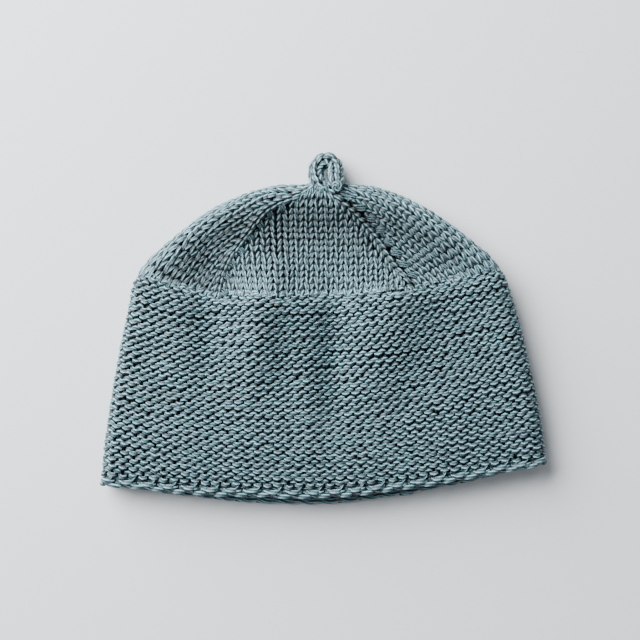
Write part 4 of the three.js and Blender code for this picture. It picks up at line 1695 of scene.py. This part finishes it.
    def build(self, spinner: Spinner, finish: bpy.types.Material) -> None:
        """Lays the links and their stems along the brim.

        Args:
            spinner: Makes the piece.
            finish: Its material.
        """
        random = np.random.default_rng(self.seed)
        runs = [strand for number in range(self.links) for strand in self.link(number, random)]
        runs += [self.filling(above, depth, random) for above, depth in self.fillings]
        spinner.piece("brim_chain", runs, finish, "edge_yarn", "brim_edge")


# ------------------------------------------------------------------ the top loop
LOOP_PATH = (
    (0.2, 60.8, 10.2), (-2.1, 63.8, 9.4), (-3.1, 66.8, 7.6), (-2.8, 70.9, 5.6), (1.2, 74.8, 4.8),
    (5.1, 72.1, 5.6), (5.7, 68.6, 8.2), (5.7, 65.4, 11.8), (5.7, 62.6, 14.2),
)


@dataclass
class TopLoop:
    """A knitted cord that rises from the apex, turns round and ends on the crown's edge."""

    stitches: int = 3  # in a round
    row_pitch: float = 3.6  # mm
    radius: float = 2.05  # from the cord's centre line to the yarn's, mm
    thickness: float = 1.08  # of the yarn, share of its usual one
    cap: float = 3.0  # length of the rounded end, mm
    cap_round: float = 0.85  # 1 for an end that closes to a point
    first_round: float = 0.35  # where the first round lies, in rounds
    shape: StitchShape = StitchShape(
        Face.KNIT, swing=0.2, spread=0.0, half_height=0.72, depth=0.6, plunge=1.4, head_rise=0.25, swell=0.2,
        points=14)
    steps: int = 160
    coils: tuple[tuple[float, float], ...] = ((1.75, 1.3), (0.55, 1.5))  # the end's: radius and height
    coil_place: tuple[float, float, float] = (0.4, -0.7, 0.2)  # from the tip to their middle, mm
    coil_tilt: float = 0.4  # mm
    coil_points: int = 20
    coil_width: float = 0.8
    seed: int = 31

    def centre_line(self) -> np.ndarray:
        """A smooth line through the cord's path."""
        path = np.array(LOOP_PATH)
        ends = np.concatenate([[2 * path[0] - path[1]], path, [2 * path[-1] - path[-2]]])
        t = np.linspace(0, len(path) - 1 - 1e-9, self.steps)
        i = t.astype(int)
        u = (t - i)[:, None]
        a, b, c, d = ends[i], ends[i + 1], ends[i + 2], ends[i + 3]
        bend, twist = 2 * a - 5 * b + 4 * c - d, 3 * b - a - 3 * c + d
        return 0.5 * (2 * b + (c - a) * u + bend * u**2 + twist * u**3)

    def build(self, spinner: Spinner, finish: bpy.types.Material) -> None:
        """Knits the cord in rounds.

        Args:
            spinner: Makes the piece.
            finish: Its material.
        """
        line = self.centre_line()
        reach = arc_length(line)
        ahead = unit(np.gradient(line, axis=0))
        side = np.zeros_like(line)
        side[0] = unit(np.cross(ahead[0], [0.0, 0.0, 1.0]))
        for i in range(1, len(line)):
            side[i] = unit(side[i - 1] - ahead[i] * np.dot(side[i - 1], ahead[i]))
        other = np.cross(ahead, side)
        random = np.random.default_rng(self.seed)
        count = self.stitches * self.shape.points
        column = np.arange(count) / self.shape.points
        sideways, across, depth, outside = self.shape.trace(column)
        angle = 2 * np.pi * (column + sideways) / self.stitches
        runs = []
        for number in range(-1, int(reach[-1] / self.row_pitch) + 1):
            along = np.clip((number + self.first_round - across) * self.row_pitch, -1.0, reach[-1])
            cap = np.clip((along - (reach[-1] - self.cap)) / self.cap, 0, 1)
            radius = self.radius * np.sqrt(1 - self.cap_round * cap**2) + depth * (1 - cap)
            middle, first, second = (along_line(table, reach, along) for table in (line, side, other))
            outward = np.cos(angle)[:, None] * first + np.sin(angle)[:, None] * second
            tone = np.full(count, random.normal(0, 0.4))
            # Painted shade where the yarn passes into the cord, as in the knitting.
            runs.append(Run(
                middle + radius[:, None] * outward, outward, True, tone, 0.5 - 0.5 * outside,
                1 + self.shape.swell * outside))
        runs += self.end_coil(line[-1])
        spinner.piece("top_loop_cord", runs, finish, "cord_yarn", "top_loop", self.thickness)

    def end_coil(self, tip: np.ndarray) -> list[Run]:
        """The yarn drawn round and through at the cord's end.

        Args:
            tip: Where the cord ends.

        Returns:
            A closed run for each coil.
        """
        count = self.coil_points
        turn = 2 * np.pi * np.arange(count) / count
        upward = np.tile([0.0, 0.0, 1.0], (count, 1))
        runs = []
        for radius, height in self.coils:
            rise = height + self.coil_tilt * np.sin(turn)
            ring = np.stack([radius * np.cos(turn), radius * np.sin(turn), rise], axis=1)
            runs.append(Run(
                tip + np.array(self.coil_place) + ring, upward, True, np.full(count, 0.4), np.zeros(count),
                np.full(count, self.coil_width)))
        return runs


# ------------------------------------------------------------------ the studio
@dataclass
class Studio:
    """A pale floor, soft light from the upper left, and the camera straight above, in metres."""

    middle: tuple[float, float] = (-0.0013, 0.0037)
    height: float = 0.6
    view_width: float = 0.2816
    mid_height: float = 0.009  # of the hat, where the view is that wide
    floor_half: float = 1.5
    window_place: tuple[float, float, float] = (-0.66, 0.58, 0.54)
    window_size: float = 1.0
    window_power: float = 68.0  # watts
    sky_colour: str = "eef1f4"
    sky_strength: float = 0.4

    def build(self) -> None:
        """Adds the floor, the camera, the window and the sky."""
        self._floor()
        self._camera()
        self._window()
        self._sky()

    def _add(self, name: str, data: bpy.types.ID) -> bpy.types.Object:
        """Puts an object with this data in the scene."""
        thing = bpy.data.objects.new(name, data)
        bpy.context.scene.collection.objects.link(thing)
        return thing

    def _floor(self) -> None:
        """The pale floor that the hat lies on."""
        half = self.floor_half
        mesh = bpy.data.meshes.new("floor")
        corners = [(-half, -half, 0), (half, -half, 0), (half, half, 0), (-half, half, 0)]
        mesh.from_pydata(corners, [], [(0, 1, 2, 3)])
        mesh.materials.append(FloorPaint("matte painted board").material())
        self._add("floor", mesh)

    def _camera(self) -> None:
        """The camera, which looks straight down."""
        data = bpy.data.cameras.new("camera")
        data.lens = data.sensor_width * (self.height - self.mid_height) / self.view_width
        camera = self._add("camera", data)
        camera.location = (*self.middle, self.height)
        bpy.context.scene.camera = camera

    def _window(self) -> None:
        """One square soft light that looks at the hat."""
        data = bpy.data.lights.new("window", "AREA")
        data.size = self.window_size
        data.energy = self.window_power
        light = self._add("window", data)
        light.location = self.window_place
        x, y, z = self.window_place
        light.rotation_euler = (math.acos(z / np.linalg.norm(self.window_place)), 0, math.atan2(x, -y))

    def _sky(self) -> None:
        """The faint light from all round."""
        world = bpy.data.worlds.new("studio")
        world.use_nodes = True
        background = world.node_tree.nodes["Background"].inputs
        background["Color"].default_value = linear(self.sky_colour)
        background["Strength"].default_value = self.sky_strength
        bpy.context.scene.world = world


def main() -> None:
    """Builds the hat piece by piece, then its surroundings."""
    logging.basicConfig(level=logging.INFO, format="%(message)s")
    form = HatForm()
    spinner = Spinner()
    cotton = CottonYarn("greyed teal spun cotton").material()
    for part in (Body(form), Crown(form), Decreases(form), BrimChain(form), TopLoop()):
        part.build(spinner, cotton)
    Studio().build()


if __name__ == "__main__":
    main()
